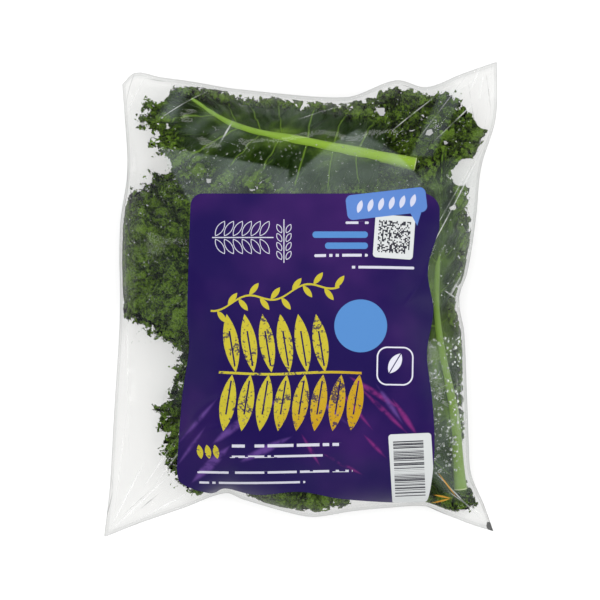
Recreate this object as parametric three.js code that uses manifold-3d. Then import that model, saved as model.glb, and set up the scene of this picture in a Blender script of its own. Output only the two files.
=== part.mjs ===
// A retail bag of curly kale: eight whole leaves in a clear, welded film bag with a printed front label.
//
// Millimetres. The bag lies on its back on the surface z = 0. +Z points up through the label, +Y towards the
// bag's top weld and +X to the right of the label. The origin is on the surface, under the middle of the bag.
//
// The leaves are packed as they are in a real bag: one on another. At every point of the plan each leaf has
// its own storey of the bag's depth, and its blade waves up and down inside that storey.
import * as THREE from "three";
import { mergeVertices } from "three/addons/utils/BufferGeometryUtils.js";
import Module from "manifold-3d";

const wasm = await Module();
wasm.setup();

// ---------------------------------------------------------------- driving dimensions
const WELD_THICK = 1.4; // the two welded films together
const FILM_WALL = 0.65; // film, measured square to its surface
const WELD_HEIGHT = 17; // height of the weld at the middle of each side
const EAR_DROP = 8; // how far the corners of the bag hang below that
const EAR_WAVE = 2.2; // height of the waves along the slack welds near the corners
const BULGE_UP = 41; // rise of the front film above the weld
const BULGE_DOWN = 27; // fall of the back film below it, before it meets the surface
const SAG_BLEND = 5; // rounding where the back film leaves the surface
const SLACK = 0.5; // share of the depth lost in the empty lower left part
const LUMP = 1.3; // unevenness of the film over the leaves
const ROUND_POWER = 3.6; // how square the bag's pillow shape is, from 2 for an ellipse
const ROUND_EASE = 0.6; // and how steeply it rises from the weld

const VENT_RADIUS = 3; // punched vents in the back film
const VENT_REACH = 4; // how far up a punch reaches
const VENTS = [
  [-34, 42],
  [34, 42],
  [-34, -42],
  [34, -42],
];

const LABEL_THICK = 0.6;
const LABEL_GAP = 0.35; // between the film and the label on it
const DRAWN_FROM = 950; // height above the surface from which the label's drawn outline looks undistorted

const CLEARANCE = 0.45; // between the film and the leaves
const LEAF_GAP = 0.6; // between one leaf and the next
const BLADE_THICK = 0.9; // of a blade between its veins
const RIB_BASE = 3.3; // radius of a midrib at its cut end
const RIB_TIP = 0.9; // and at its tip

// The bag's four edges seen from above: where each edge lies against the distance along it.
const LEFT_EDGE = through([
  [-134, -111],
  [-98, -106.5],
  [-27, -102],
  [0, -100.8],
  [22, -101],
  [45, -100.4],
  [72, -97.2],
  [105, -99],
  [130, -101],
]);
const RIGHT_EDGE = through([
  [-131, 109.5],
  [-116, 104],
  [-98, 96.3],
  [-80, 94.6],
  [-55, 93.6],
  [-18, 92.2],
  [-6, 89.8],
  [3, 89.4],
  [15, 93.5],
  [46, 98.5],
  [75, 102],
  [102, 110.2],
  [134, 111],
]);
const BOTTOM_EDGE = through([
  [-110, -134],
  [-90, -125.5],
  [-65, -116.5],
  [-42, -108.5],
  [-32, -112],
  [-4, -119.5],
  [8, -121.2],
  [28, -118.6],
  [48, -117],
  [70, -116],
  [78, -119],
  [88, -123],
  [98, -127],
  [110, -131],
]);
const TOP_EDGE = through([
  [-101, 121],
  [-93, 127.8],
  [-78, 125],
  [-60, 122.5],
  [-35, 118.5],
  [25, 113.5],
  [54, 123.5],
  [71, 119.5],
  [91, 127],
  [110, 134],
]);

// The leaves, from the back film up to the label. The rib runs from its cut end to its tip, reach is the
// blade's half-width, waves is how many big ruffles each side has, and rise is how high in its storey the rib
// lies, from -1 to 1. A leaf with its underside up shows a rib that stands out of the blade.
const LEAVES = [
  leaf("leaf_back_right", 11, [[20, 86], [42, 28], [50, -38], [74, -110]], 52, 7, -0.4, -1),
  leaf("leaf_back_left", 23, [[6, -96], [-24, -38], [-44, 20], [-58, 73]], 46, 7, -0.4, -1),
  leaf("leaf_lower_left", 37, [[24, 26], [-8, -16], [-34, -52], [-46, -82]], 45, 7, 0, -1),
  leaf("leaf_bottom", 41, [[20, 30], [24, -14], [14, -62], [0, -106]], 46, 7, 0, 1),
  leaf("leaf_upper_right", 53, [[-8, 18], [24, 52], [48, 86], [74, 92]], 44, 7, 0.1, -1),
  leaf("leaf_left", 67, [[16, 8], [-20, 16], [-56, 24], [-92, 20]], 53, 8, 0.2, -1),
  leaf("leaf_right", 71, [[90, -106], [85, -64], [75, -8], [78, 62]], 39, 8, 0.55, 1),
  leaf("leaf_top", 83, [[63, 74], [10, 85], [-36, 96], [-62, 113]], 43, 8, 0.5, 1),
];

// The film's grid lines from a weld to the middle.
const FILM_COLUMNS = [1, 0.985, 0.93, 0.8, 0.66, 0.5, 0.33, 0.165];
const FILM_ROWS = [1, 0.985, 0.94, 0.83, 0.71, 0.57, 0.43, 0.28, 0.14];
const BLADE_STEPS = 36; // along each side of a leaf
const BLADE_RINGS = [0, 0.13, 0.45, 0.76, 1]; // from the midrib to the margin
const BLADE_START = 0.15; // share of the rib that is bare stalk
const STALK_STEPS = 4;
const STALK_SIDES = 8;
const STALK_SUNK = 0.04; // share of the rib over which the stalk runs on into the blade
const RIB_PROUD = 1.0; // height of the midrib's ridge on the leaf's underside, in rib radii
const RIB_UNDER = 0.3; // and on its upper side
const GATHER_FROM = 0.83; // where blades start to crowd towards a weld, as a share of the bag's half-width
const GATHER_TO = 0.964; // and the furthest that they reach

const GREEN = new THREE.MeshStandardMaterial({ color: 0x3a6b22, roughness: 0.6 });
const CLEAR_FILM = new THREE.MeshStandardMaterial({
  color: 0xe8ecea,
  roughness: 0.12,
  transparent: true,
  opacity: 0.25,
});
const PRINT = new THREE.MeshStandardMaterial({ color: 0x2a1a66, roughness: 0.3 });

// ---------------------------------------------------------------- small helpers
// A smooth function that passes through [x, y] points, and stays level beyond them.
function through(points) {
  const slopes = points.map((_, i) => {
    const a = points[Math.max(i - 1, 0)];
    const b = points[Math.min(i + 1, points.length - 1)];
    return (b[1] - a[1]) / (b[0] - a[0]);
  });
  return (x) => {
    let i = 0;
    while (i < points.length - 2 && x > points[i + 1][0]) i++;
    const span = points[i + 1][0] - points[i][0];
    const t = THREE.MathUtils.clamp((x - points[i][0]) / span, 0, 1);
    const rise = points[i + 1][1] - points[i][1];
    const a = slopes[i] * span - rise;
    const b = rise - slopes[i + 1] * span;
    return points[i][1] + t * rise + t * (1 - t) * (a * (1 - t) + b * t);
  };
}

// From 0 at one value of x to 1 at another, which may be the lower one.
function smooth(from, to, x) {
  const t = THREE.MathUtils.clamp((x - from) / (to - from), 0, 1);
  return t * t * (3 - 2 * t);
}

const mix = (a, b, t) => a + (b - a) * t;
const mirrored = (half) => [...half.map((t) => -t), 0, ...[...half].reverse()];

// Two height functions over one grid of [x, y] nodes make a closed solid. Both faces are split alike, so they
// never cross. Nodes where the two heights meet are shared.
function slab(rows, upper, lower) {
  const wide = rows[0].length;
  const count = rows.length * wide;
  const positions = [];
  for (const height of [upper, lower])
    for (const row of rows) for (const [x, y, ...rest] of row) positions.push(x, y, height(x, y, ...rest));
  const faces = [];
  const quad = (a, b, c, d) => faces.push(a, b, c, a, c, d);
  for (let j = 0; j + 1 < rows.length; j++)
    for (let i = 0; i + 1 < wide; i++) {
      const [a, b, c, d] = [j * wide + i, j * wide + i + 1, (j + 1) * wide + i + 1, (j + 1) * wide + i];
      quad(a, b, c, d);
      faces.push(a + count, c + count, b + count, a + count, d + count, c + count);
    }
  const edge = [];
  for (let i = 0; i < wide - 1; i++) edge.push(i);
  for (let j = 0; j < rows.length - 1; j++) edge.push(j * wide + wide - 1);
  for (let i = wide - 1; i > 0; i--) edge.push((rows.length - 1) * wide + i);
  for (let j = rows.length - 1; j > 0; j--) edge.push(j * wide);
  edge.forEach((a, k) => {
    const b = edge[(k + 1) % edge.length];
    quad(a + count, b + count, b, a);
  });
  const geometry = new THREE.BufferGeometry();
  geometry.setAttribute("position", new THREE.Float32BufferAttribute(positions, 3));
  geometry.setIndex(faces);
  return geometry;
}

// A closed three.js geometry as a solid that can be joined and cut.
function solid(geometry) {
  const bare = geometry.clone();
  bare.deleteAttribute("normal");
  bare.deleteAttribute("uv");
  const merged = mergeVertices(bare, 1e-4);
  const corners = merged.index.array;
  const kept = [];
  for (let i = 0; i < corners.length; i += 3) {
    const [a, b, c] = [corners[i], corners[i + 1], corners[i + 2]];
    if (a !== b && b !== c && a !== c) kept.push(a, b, c);
  }
  return new wasm.Manifold(
    new wasm.Mesh({
      numProp: 3,
      vertProperties: new Float32Array(merged.attributes.position.array),
      triVerts: new Uint32Array(kept),
    }),
  );
}

// A solid as a named mesh. Crumbs that a cut leaves beside the main body are dropped.
function mesh(name, made, material) {
  const body = made.decompose().sort((a, b) => b.volume() - a.volume())[0];
  const { vertProperties, triVerts } = body.getMesh();
  const geometry = new THREE.BufferGeometry();
  geometry.setAttribute("position", new THREE.BufferAttribute(new Float32Array(vertProperties), 3));
  geometry.setIndex(new THREE.BufferAttribute(new Uint32Array(triVerts), 1));
  geometry.computeVertexNormals();
  const made3d = new THREE.Mesh(geometry, material);
  made3d.name = name;
  return made3d;
}

// ---------------------------------------------------------------- the bag
// How far across and up the bag a point of the plan lies, each from -1 to 1.
function across(x, y) {
  const [left, right] = [LEFT_EDGE(y), RIGHT_EDGE(y)];
  const [bottom, top] = [BOTTOM_EDGE(x), TOP_EDGE(x)];
  return [(2 * (x - left)) / (right - left) - 1, (2 * (y - bottom)) / (top - bottom) - 1];
}

// The point of the plan that lies so far across and up the bag.
function place(u, v) {
  let [x, y] = [100 * u, 120 * v];
  for (let pass = 0; pass < 12; pass++)
    [x, y] = [
      mix(LEFT_EDGE(y), RIGHT_EDGE(y), (u + 1) / 2),
      mix(BOTTOM_EDGE(x), TOP_EDGE(x), (v + 1) / 2),
    ];
  return [x, y];
}

// How full the bag is at a point, from 0 at the weld to 1.
function fullness(x, y) {
  const [u, v] = across(x, y);
  const round = (t, weld) => Math.max(0, 1 - Math.abs(t / weld) ** ROUND_POWER) ** ROUND_EASE;
  const empty = smooth(-38, -82, x) * smooth(24, -40, y);
  return round(u, FILM_COLUMNS[1]) * round(v, FILM_ROWS[1]) * (1 - SLACK * empty);
}

// Height of the weld, which runs on through the bag as its middle level.
function middle(x, y) {
  const [u, v] = across(x, y).map((t) => THREE.MathUtils.clamp(t, -1, 1));
  const waves = v ** 4 * Math.sin(0.075 * x + 1.1) + u ** 4 * Math.sin(0.06 * y - 0.4);
  return WELD_HEIGHT - EAR_DROP * (u * v) ** 2 + EAR_WAVE * waves;
}

function frontHeight(x, y) {
  const full = fullness(x, y);
  const lumps = Math.sin(x / 13 + 0.7) * Math.sin(y / 16 - 0.5) + 0.6 * Math.sin((x - y) / 21);
  return middle(x, y) + WELD_THICK / 2 + full * (BULGE_UP + LUMP * lumps);
}

// The back film falls from the weld and lies flat on the surface in the middle.
function backHeight(x, y) {
  const fall = middle(x, y) - WELD_THICK / 2 - BULGE_DOWN * fullness(x, y);
  if (fall <= -SAG_BLEND) return 0;
  return fall >= SAG_BLEND ? fall : (fall + SAG_BLEND) ** 2 / (4 * SAG_BLEND);
}

// The film's wall measured upright, which grows where the film is steep.
function wall(height, x, y) {
  const step = 0.5;
  const slopeX = (height(x + step, y) - height(x - step, y)) / (2 * step);
  const slopeY = (height(x, y + step) - height(x, y - step)) / (2 * step);
  return FILM_WALL * Math.min(2.2, Math.hypot(1, slopeX, slopeY));
}

const GRID_COLUMNS = mirrored(FILM_COLUMNS);
const GRID_ROWS = mirrored(FILM_ROWS);
const FILM_GRID = GRID_ROWS.map((v) => GRID_COLUMNS.map((u) => place(u, v)));

// The top and the bottom of the hollow in the bag. They close up at the weld's inner edge.
function hollowTop(x, y) {
  const level = frontHeight(x, y) - wall(frontHeight, x, y);
  return fullness(x, y) < 1e-4 ? middle(x, y) + 0.01 : Math.max(level, middle(x, y) + 0.02);
}

function hollowBottom(x, y) {
  const level = backHeight(x, y) + wall(backHeight, x, y);
  return fullness(x, y) < 1e-4 ? middle(x, y) - 0.01 : Math.min(level, middle(x, y) - 0.02);
}

// The film is made of flat triangles between the nodes of its grid. This gives their level at any point.
function faceted(height) {
  const levels = FILM_GRID.map((row) => row.map(([x, y]) => height(x, y)));
  const cell = (lines, t) => {
    const i = THREE.MathUtils.clamp(lines.findIndex((line) => line > t) - 1, 0, lines.length - 2);
    return [i, (t - lines[i]) / (lines[i + 1] - lines[i])];
  };
  return (x, y) => {
    const [u, v] = across(x, y);
    const [[i, p], [j, q]] = [cell(GRID_COLUMNS, u), cell(GRID_ROWS, v)];
    const [a, b] = [levels[j][i], levels[j][i + 1]];
    const [d, c] = [levels[j + 1][i], levels[j + 1][i + 1]];
    return p > q ? a + p * (b - a) + q * (c - b) : a + q * (d - a) + p * (c - d);
  };
}

const ceiling = faceted(hollowTop);
const floor = faceted(hollowBottom);

function filmBag() {
  const inside = FILM_GRID.slice(1, -1).map((row) => row.slice(1, -1));
  const hollow = solid(slab(inside, hollowTop, hollowBottom));
  let bag = solid(slab(FILM_GRID, frontHeight, backHeight)).subtract(hollow);
  for (const [x, y] of VENTS) {
    const punch = new THREE.CylinderGeometry(VENT_RADIUS, VENT_RADIUS, 2 * VENT_REACH, 12);
    punch.rotateX(Math.PI / 2).translate(x, y, 0);
    bag = bag.subtract(solid(punch));
  }
  return mesh("film_bag", bag, CLEAR_FILM);
}

// ---------------------------------------------------------------- the label
function frontLabel() {
  const outline = new THREE.Shape();
  outline.moveTo(-54.5, 59.6);
  outline.absarc(-54.3, 52.6, 7, Math.PI / 2, Math.PI);
  outline.splineThru(
    [
      [-62.5, 18],
      [-63, -10],
      [-62, -27],
      [-66, -55],
      [-69, -95],
    ].map(([x, y]) => new THREE.Vector2(x, y)),
  );
  outline.splineThru(
    [
      [-66, -105],
      [-50, -109.2],
      [-41.5, -106.2],
      [-24, -109],
      [0, -107.2],
      [22, -111],
      [50, -114],
      [67, -114.3],
    ].map(([x, y]) => new THREE.Vector2(x, y)),
  );
  outline.splineThru(
    [
      [72, -110],
      [75.2, -84],
      [74, -56],
      [71, -30],
      [74.5, -6],
      [71.5, 17],
      [78, 40],
    ].map(([x, y]) => new THREE.Vector2(x, y)),
  );
  outline.absarc(68.5, 50, 9.6, -0.1, Math.PI / 2);
  outline.closePath();

  // A printed tab whose upper corner stands out of the label's top edge.
  const tab = new THREE.Shape();
  const [wide, tall, round] = [45, 14, 3.4];
  tab.absarc(wide / 2 - round, tall / 2 - round, round, 0, Math.PI / 2);
  tab.absarc(round - wide / 2, tall / 2 - round, round, Math.PI / 2, Math.PI);
  tab.absarc(round - wide / 2, round - tall / 2, round, Math.PI, 1.5 * Math.PI);
  tab.absarc(wide / 2 - round, round - tall / 2, round, 1.5 * Math.PI, 2 * Math.PI);
  tab.closePath();

  // The outline is drawn flat at the welds' height, so the film draws it in where it stands higher.
  const punch = (points) => {
    const laid = points.map((point) => {
      const near = (DRAWN_FROM - frontHeight(point.x, point.y)) / (DRAWN_FROM - WELD_HEIGHT);
      return point.clone().multiplyScalar(near);
    });
    return solid(new THREE.ExtrudeGeometry(new THREE.Shape(laid), { depth: 90, bevelEnabled: false }));
  };
  const tilt = THREE.MathUtils.degToRad(6.5);
  const onLabel = (point) => point.rotateAround(new THREE.Vector2(), tilt).add(new THREE.Vector2(48.4, 54));
  const cutter = punch(outline.getPoints(5)).add(punch(tab.getPoints(5).map(onLabel)));
  const onFilm = (lift) => (x, y) => frontHeight(x, y) + lift;
  const sheet = slab(
    FILM_GRID.slice(1, -1).map((row) => row.slice(2, -2)),
    onFilm(LABEL_GAP + LABEL_THICK),
    onFilm(LABEL_GAP),
  );
  return mesh("front_label", solid(sheet).intersect(cutter), PRINT);
}

// ---------------------------------------------------------------- the leaves
function leaf(name, seed, rib, reach, waves, rise, ribSide) {
  const line = new THREE.CatmullRomCurve3(rib.map(([x, y]) => new THREE.Vector3(x, y, 0)));
  return { name, seed, line, reach, waves, rise, ribSide, samples: line.getSpacedPoints(24) };
}

// The blade's half-width along the rib, s from 0 at the stalk to 1 at the tip.
const widthAt = (s) => 0.34 + 0.66 * Math.sin(Math.PI * (0.07 + 0.68 * s)) ** 0.8;
const ribRadius = (at) => mix(RIB_BASE, RIB_TIP, at ** 0.8);

// How far a point lies from a leaf's rib, in millimetres and as a share of the blade's half-width there.
function distanceTo(one, x, y) {
  let best = Infinity;
  let at = 0;
  one.samples.forEach((p, k) => {
    const d = Math.hypot(p.x - x, p.y - y);
    if (d < best) [best, at] = [d, k / (one.samples.length - 1)];
  });
  const s = Math.max(0, (at - BLADE_START) / (1 - BLADE_START));
  return [best, best / (one.reach * widthAt(s))];
}

// How much of the bag's depth each leaf claims at a point: nearly none away from it, most over its rib.
function claims(x, y) {
  return LEAVES.map((one) => {
    const [distance, share] = distanceTo(one, x, y);
    return 0.02 + smooth(1.8, 0.8, share) + 1.5 * Math.exp(-((distance / 11) ** 2));
  });
}

// The lowest and highest level that a leaf's solid may reach at a point.
function storey(index, x, y) {
  const parts = claims(x, y);
  const whole = parts.reduce((sum, part) => sum + part, 0);
  const below = parts.slice(0, index).reduce((sum, part) => sum + part, 0);
  const low = floor(x, y) + CLEARANCE;
  const high = ceiling(x, y) - CLEARANCE;
  return [
    mix(low, high, below / whole) + LEAF_GAP / 2,
    mix(low, high, (below + parts[index]) / whole) - LEAF_GAP / 2,
  ];
}

// Margins that would reach the weld are gathered in front of it.
function gathered(x, y) {
  const soft = (t) => {
    const over = Math.abs(t) - GATHER_FROM;
    const room = GATHER_TO - GATHER_FROM;
    return over > 0 ? Math.sign(t) * (GATHER_FROM + room * (1 - Math.exp(-over / room))) : t;
  };
  const [u, v] = across(x, y);
  return place(soft(u), soft(v));
}

// A point of the blade in plan. m runs round the margin, from -1 at the stalk's right over 0 at the tip to 1
// at its left, and r from 0 on the midrib to 1 at the margin. Like side veins, the lines of equal m sweep
// forward, and they meet the tip straight ahead.
function bladePoint(one, m, r) {
  const s = 1 - Math.abs(m);
  const at = mix(BLADE_START, 1, s);
  const root = one.line.getPointAt(at);
  const ahead = one.line.getTangentAt(at);
  const turn = Math.sign(m) * THREE.MathUtils.degToRad(mix(94, 0, s ** 1.5));
  const lobes = 1 + 0.1 * Math.sin(2.2 * one.waves * m + one.seed) + 0.05 * Math.sin(5.1 * one.waves * m);
  const out = Math.max(one.reach * widthAt(s) * lobes * r, r && RIB_TIP);
  const dx = ahead.x * Math.cos(turn) - ahead.y * Math.sin(turn);
  const dy = ahead.x * Math.sin(turn) + ahead.y * Math.cos(turn);
  return gathered(root.x + out * dx, root.y + out * dy);
}

// How high the blade lies in its storey, from -1 to 1: steady at the rib, in deep ruffles at the margin.
function ruffle(one, m, r) {
  const phase = one.seed * 1.7 + Math.sign(m);
  const drift = 1.3 * Math.sin(6.1 * m + phase) + 0.5 * Math.sin(17 * m + phase);
  const along = Math.PI * 2 * one.waves * m + drift;
  const swing = 0.75 + 0.25 * Math.sin(11.3 * m + 2 * phase);
  const fold = 0.25 * Math.sin(along + phase + 1) * Math.sin(Math.PI * r) ** 2;
  const big = Math.sin(along + phase) * swing * r ** 1.4;
  const small = 0.45 * Math.sin(2.3 * along + phase * 3) * r ** 3;
  return THREE.MathUtils.clamp(one.rise * (1 - r) ** 1.5 + fold + big + small, -1, 1);
}

// The level of the blade's middle at a point, for a rib of some radius and a height in the storey from -1
// to 1, and how far the rib's ridge then stands over and beneath the blade.
function bladeLevel(index, x, y, radius, height) {
  const [low, high] = storey(index, x, y);
  const ridge = Math.min(radius, (high - low - BLADE_THICK) / (RIB_PROUD + RIB_UNDER));
  const proud = [RIB_PROUD * ridge, RIB_UNDER * ridge];
  const [over, beneath] = LEAVES[index].ribSide > 0 ? proud : proud.reverse();
  const half = BLADE_THICK / 2;
  return [mix(low + half + beneath, high - half - over, (1 + height) / 2), over, beneath];
}

// The blade with its midrib: two halves that meet on the rib, where both faces rise to form its ridge. The
// faces are half the blade's thickness off its middle, square to it.
function blade(one, index) {
  const wide = BLADE_RINGS.length;
  const tall = 2 * BLADE_STEPS + 1;
  const middles = [];
  const ridges = [];
  for (let k = -BLADE_STEPS; k <= BLADE_STEPS; k++) {
    const m = k / BLADE_STEPS;
    const radius = ribRadius(mix(BLADE_START, 1, 1 - Math.abs(m)));
    for (const ring of BLADE_RINGS) {
      const tooth = ring === 1 ? (k % 2 ? 0.05 : -0.04) : 0;
      const [x, y] = bladePoint(one, m, ring + tooth);
      const [level, over, beneath] = bladeLevel(index, x, y, ring ? 0 : radius, ruffle(one, m, ring));
      middles.push(new THREE.Vector3(x, y, level));
      ridges.push([over, beneath]);
    }
  }
  const { clamp } = THREE.MathUtils;
  const at = (j, i) => middles[clamp(j, 0, tall - 1) * wide + clamp(i, 0, wide - 1)];
  const positions = { upper: [], lower: [] };
  middles.forEach((p, n) => {
    const [j, i] = [Math.floor(n / wide), n % wide];
    const along = at(j + 1, i).clone().sub(at(j - 1, i));
    const outward = at(j, i + 1).clone().sub(at(j, i - 1));
    const square = i ? outward.cross(along).normalize() : new THREE.Vector3(0, 0, 1);
    square.multiplyScalar((Math.sign(square.z) * BLADE_THICK) / 2);
    positions.upper.push(p.x + square.x, p.y + square.y, p.z + square.z + ridges[n][0]);
    positions.lower.push(p.x - square.x, p.y - square.y, p.z - square.z - ridges[n][1]);
  });
  const count = tall * wide;
  const faces = [];
  const quad = (a, b, c, d) => faces.push(a, b, c, a, c, d);
  for (let j = 0; j + 1 < tall; j++) {
    for (let i = 0; i + 1 < wide; i++) {
      const [a, b, c, d] = [j * wide + i, j * wide + i + 1, (j + 1) * wide + i + 1, (j + 1) * wide + i];
      quad(a, b, c, d);
      faces.push(a + count, c + count, b + count, a + count, d + count, c + count);
    }
    const margin = j * wide + wide - 1;
    quad(margin + count, margin + wide + count, margin + wide, margin);
  }
  for (let i = 0; i + 1 < wide; i++) {
    const last = (tall - 1) * wide + i;
    quad(i + count, i + 1 + count, i + 1, i);
    quad(last, last + 1, last + 1 + count, last + count);
  }
  const geometry = new THREE.BufferGeometry();
  const corners = [...positions.upper, ...positions.lower];
  geometry.setAttribute("position", new THREE.Float32BufferAttribute(corners, 3));
  geometry.setIndex(faces);
  return geometry;
}

// The bare stalk: a tube from its square cut end into the foot of the midrib.
function stalk(one, index) {
  const rings = [];
  for (let k = 0; k <= STALK_STEPS; k++) {
    const at = (k / STALK_STEPS) * (BLADE_START + STALK_SUNK);
    const p = one.line.getPointAt(at);
    const t = one.line.getTangentAt(at);
    const beside = ribRadius(at);
    const places = [-beside, 0, beside].map((side) => storey(index, p.x + t.y * side, p.y - t.x * side));
    const low = Math.max(...places.map((place) => place[0]));
    const high = Math.min(...places.map((place) => place[1]));
    const full = Math.min(beside, 0.46 * (high - low));
    const [axis] = bladeLevel(index, p.x, p.y, beside, one.rise);
    const sunk = k === STALK_STEPS;
    const radius = sunk ? 0.4 * full : full;
    const level = sunk ? axis : THREE.MathUtils.clamp(axis, low + full, high - full);
    rings.push(
      Array.from({ length: STALK_SIDES }, (_, n) => {
        const a = (2 * Math.PI * n) / STALK_SIDES;
        const out = radius * Math.cos(a);
        return [p.x + t.y * out, p.y - t.x * out, level + radius * Math.sin(a)];
      }),
    );
  }
  const faces = [];
  for (let k = 0; k < STALK_STEPS; k++)
    for (let n = 0; n < STALK_SIDES; n++) {
      const [a, b] = [k * STALK_SIDES + n, k * STALK_SIDES + ((n + 1) % STALK_SIDES)];
      faces.push(a, a + STALK_SIDES, b + STALK_SIDES, a, b + STALK_SIDES, b);
    }
  const last = STALK_STEPS * STALK_SIDES;
  for (let n = 1; n + 1 < STALK_SIDES; n++) faces.push(0, n, n + 1, last, last + n + 1, last + n);
  const geometry = new THREE.BufferGeometry();
  geometry.setAttribute("position", new THREE.Float32BufferAttribute(rings.flat(2), 3));
  geometry.setIndex(faces);
  return geometry;
}

// ---------------------------------------------------------------- the whole bag
const bagOfKale = new THREE.Group();
LEAVES.forEach((one, index) => {
  bagOfKale.add(mesh(one.name, solid(blade(one, index)).add(solid(stalk(one, index))), GREEN));
});
bagOfKale.add(filmBag(), frontLabel());

export default bagOfKale;
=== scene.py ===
"""A retail bag of curly kale: eight leaves with frilled margins in a clear, welded film bag with a label.

Lengths in the formulas are in millimetres, in the frame of the solids: +Z up through the label, +Y towards
the bag's top weld. Meshes are written in metres.
"""

import math

import bmesh
import bpy
import numpy as np
from bpy.props import FloatProperty, FloatVectorProperty, PointerProperty
from bpy.types import Operator, Panel, PropertyGroup
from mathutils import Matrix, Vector
from mathutils.kdtree import KDTree


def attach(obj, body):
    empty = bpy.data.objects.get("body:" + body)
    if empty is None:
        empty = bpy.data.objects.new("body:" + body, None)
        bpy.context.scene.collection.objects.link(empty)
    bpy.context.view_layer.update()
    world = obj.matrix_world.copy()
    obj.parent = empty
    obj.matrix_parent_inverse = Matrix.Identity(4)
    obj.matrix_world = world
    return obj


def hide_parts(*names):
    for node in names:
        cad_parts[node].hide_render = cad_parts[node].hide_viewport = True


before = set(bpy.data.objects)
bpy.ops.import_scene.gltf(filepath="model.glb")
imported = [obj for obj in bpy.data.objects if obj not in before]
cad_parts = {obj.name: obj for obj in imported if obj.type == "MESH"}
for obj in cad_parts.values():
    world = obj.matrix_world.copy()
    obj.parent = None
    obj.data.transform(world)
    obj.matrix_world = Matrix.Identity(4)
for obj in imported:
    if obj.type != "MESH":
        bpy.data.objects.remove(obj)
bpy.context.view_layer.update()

bl_info = {
    "name": "Bag of kale",
    "version": (1, 0, 0),
    "blender": (4, 5, 0),
    "location": "View3D > Sidebar > Kale",
    "description": "Builds a clear film bag of curly kale with its label",
    "category": "Object",
}

MM = 0.001

# ------------------------------------------------------------------ the solids' own dimensions
WELD_THICK = 1.4
WELD_HEIGHT = 17.0
EAR_DROP = 8.0
EAR_WAVE = 2.2
BULGE_UP = 41.0
BULGE_DOWN = 27.0
SAG_BLEND = 5.0
SLACK = 0.5  # share of the fullness that the empty lower left corner lacks
LUMP = 1.3
ROUND_POWER = 3.6
ROUND_EASE = 0.6
LEAF_GAP = 0.6
RIB_BASE = 3.3
RIB_TIP = 0.9
BLADE_START = 0.15  # share of the rib's length that is bare stalk
WELD_U = 0.985
WELD_V = 0.985
GATHER_FROM = 0.83
GATHER_TO = 0.972
DRAWN_FROM = 950.0  # the label and the gaps are laid out at the weld's level, as seen from this height

# ------------------------------------------------------------------ what the scene adds
FRONT_LIFT = 0.1  # the film over the solid's front, and each of its layers off the weld's middle
BACK_LEVEL = 0.05  # the lowest level of the back film
LABEL_LIFT = 0.5  # the label over the film
BEAD_LIFT = 0.12  # the droplets' middles over the film
FINE_BLADE = (961, 56)  # points round the margin and out from the midrib
BACK_BLADE = (481, 32)
FRONT_FILM = (211, 241)  # points across and up
BACK_FILM = (91, 107)
LABEL_STEP = 0.95
GRID_STEP = 2.0  # of the grid on which the leaves' shares of the depth are held
PATH_STEP = 0.2  # between the points of an outline to which the label's rim is drawn
WHITE = (1, 1, 1, 1)
INK = (0.03, 0.03, 0.04, 1)

# Each leaf: its node and seed, its rib from the cut end to the tip, and then its half-width, big ruffles a
# side, level of the rib in its storey, side that the rib stands out on, share of the half-width where the
# frills start, how much lighter it is, how thick its rib is beside the solid's, the share of the rib that
# isn't sunk under frills, and whether it lies near the front film and gets the finest mesh.
LEAVES = (
    ("leaf_back_right", 11, ((20, 86), (42, 28), (50, -38), (74, -110)),
     52, 7, -0.4, -1, 0.35, 0.0, 1, 1.2, False),
    ("leaf_back_left", 23, ((6, -96), (-24, -38), (-44, 20), (-58, 73)),
     46, 7, -0.4, -1, 0.35, 0.0, 1, 1.2, False),
    ("leaf_lower_left", 37, ((24, 26), (-8, -16), (-34, -52), (-46, -82)),
     45, 7, 0, -1, -0.1, 0.04, 1, 0.0, True),
    ("leaf_bottom", 41, ((20, 30), (24, -14), (14, -62), (0, -106)),
     46, 7, 0, 1, 0.1, 0.12, 1, 1.2, True),
    ("leaf_upper_right", 53, ((-8, 18), (24, 52), (48, 86), (74, 92)),
     44, 7, 0.1, -1, -0.2, -0.02, 0.8, 0.0, True),
    ("leaf_left", 67, ((16, 8), (-20, 16), (-56, 24), (-92, 20)),
     53, 8, 0.2, -1, -0.35, 0.0, 0.8, 0.0, True),
    ("leaf_right", 71, ((90, -106), (85, -64), (75, -8), (78, 62)),
     39, 8, 0.55, 1, 0.45, 0.36, 1.1, 0.66, True),
    ("leaf_top", 83, ((63, 74), (10, 85), (-36, 96), (-62, 113)),
     43, 8, 0.5, 1, 0.5, 0.2, 1.12, 1.2, True),
)

# Lobes that reach further out than the rest of a margin: leaf, place round the margin, width and growth.
LOBES = (
    ("leaf_top", 0.22, 0.10, 0.20),
    ("leaf_back_right", 0.18, 0.12, 0.20),
)


def through(points):
    """A smooth function that passes through (x, y) points, and stays level beyond them."""
    xs, ys = np.array(points, float).T
    before = np.maximum(np.arange(len(xs)) - 1, 0)
    after = np.minimum(np.arange(len(xs)) + 1, len(xs) - 1)
    slopes = (ys[after] - ys[before]) / (xs[after] - xs[before])

    def curve(x):
        i = np.clip(np.searchsorted(xs, x, side="right") - 1, 0, len(xs) - 2)
        span = xs[i + 1] - xs[i]
        t = np.clip((x - xs[i]) / span, 0, 1)
        rise = ys[i + 1] - ys[i]
        a = slopes[i] * span - rise
        b = rise - slopes[i + 1] * span
        return ys[i] + t * rise + t * (1 - t) * (a * (1 - t) + b * t)

    return curve


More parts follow.
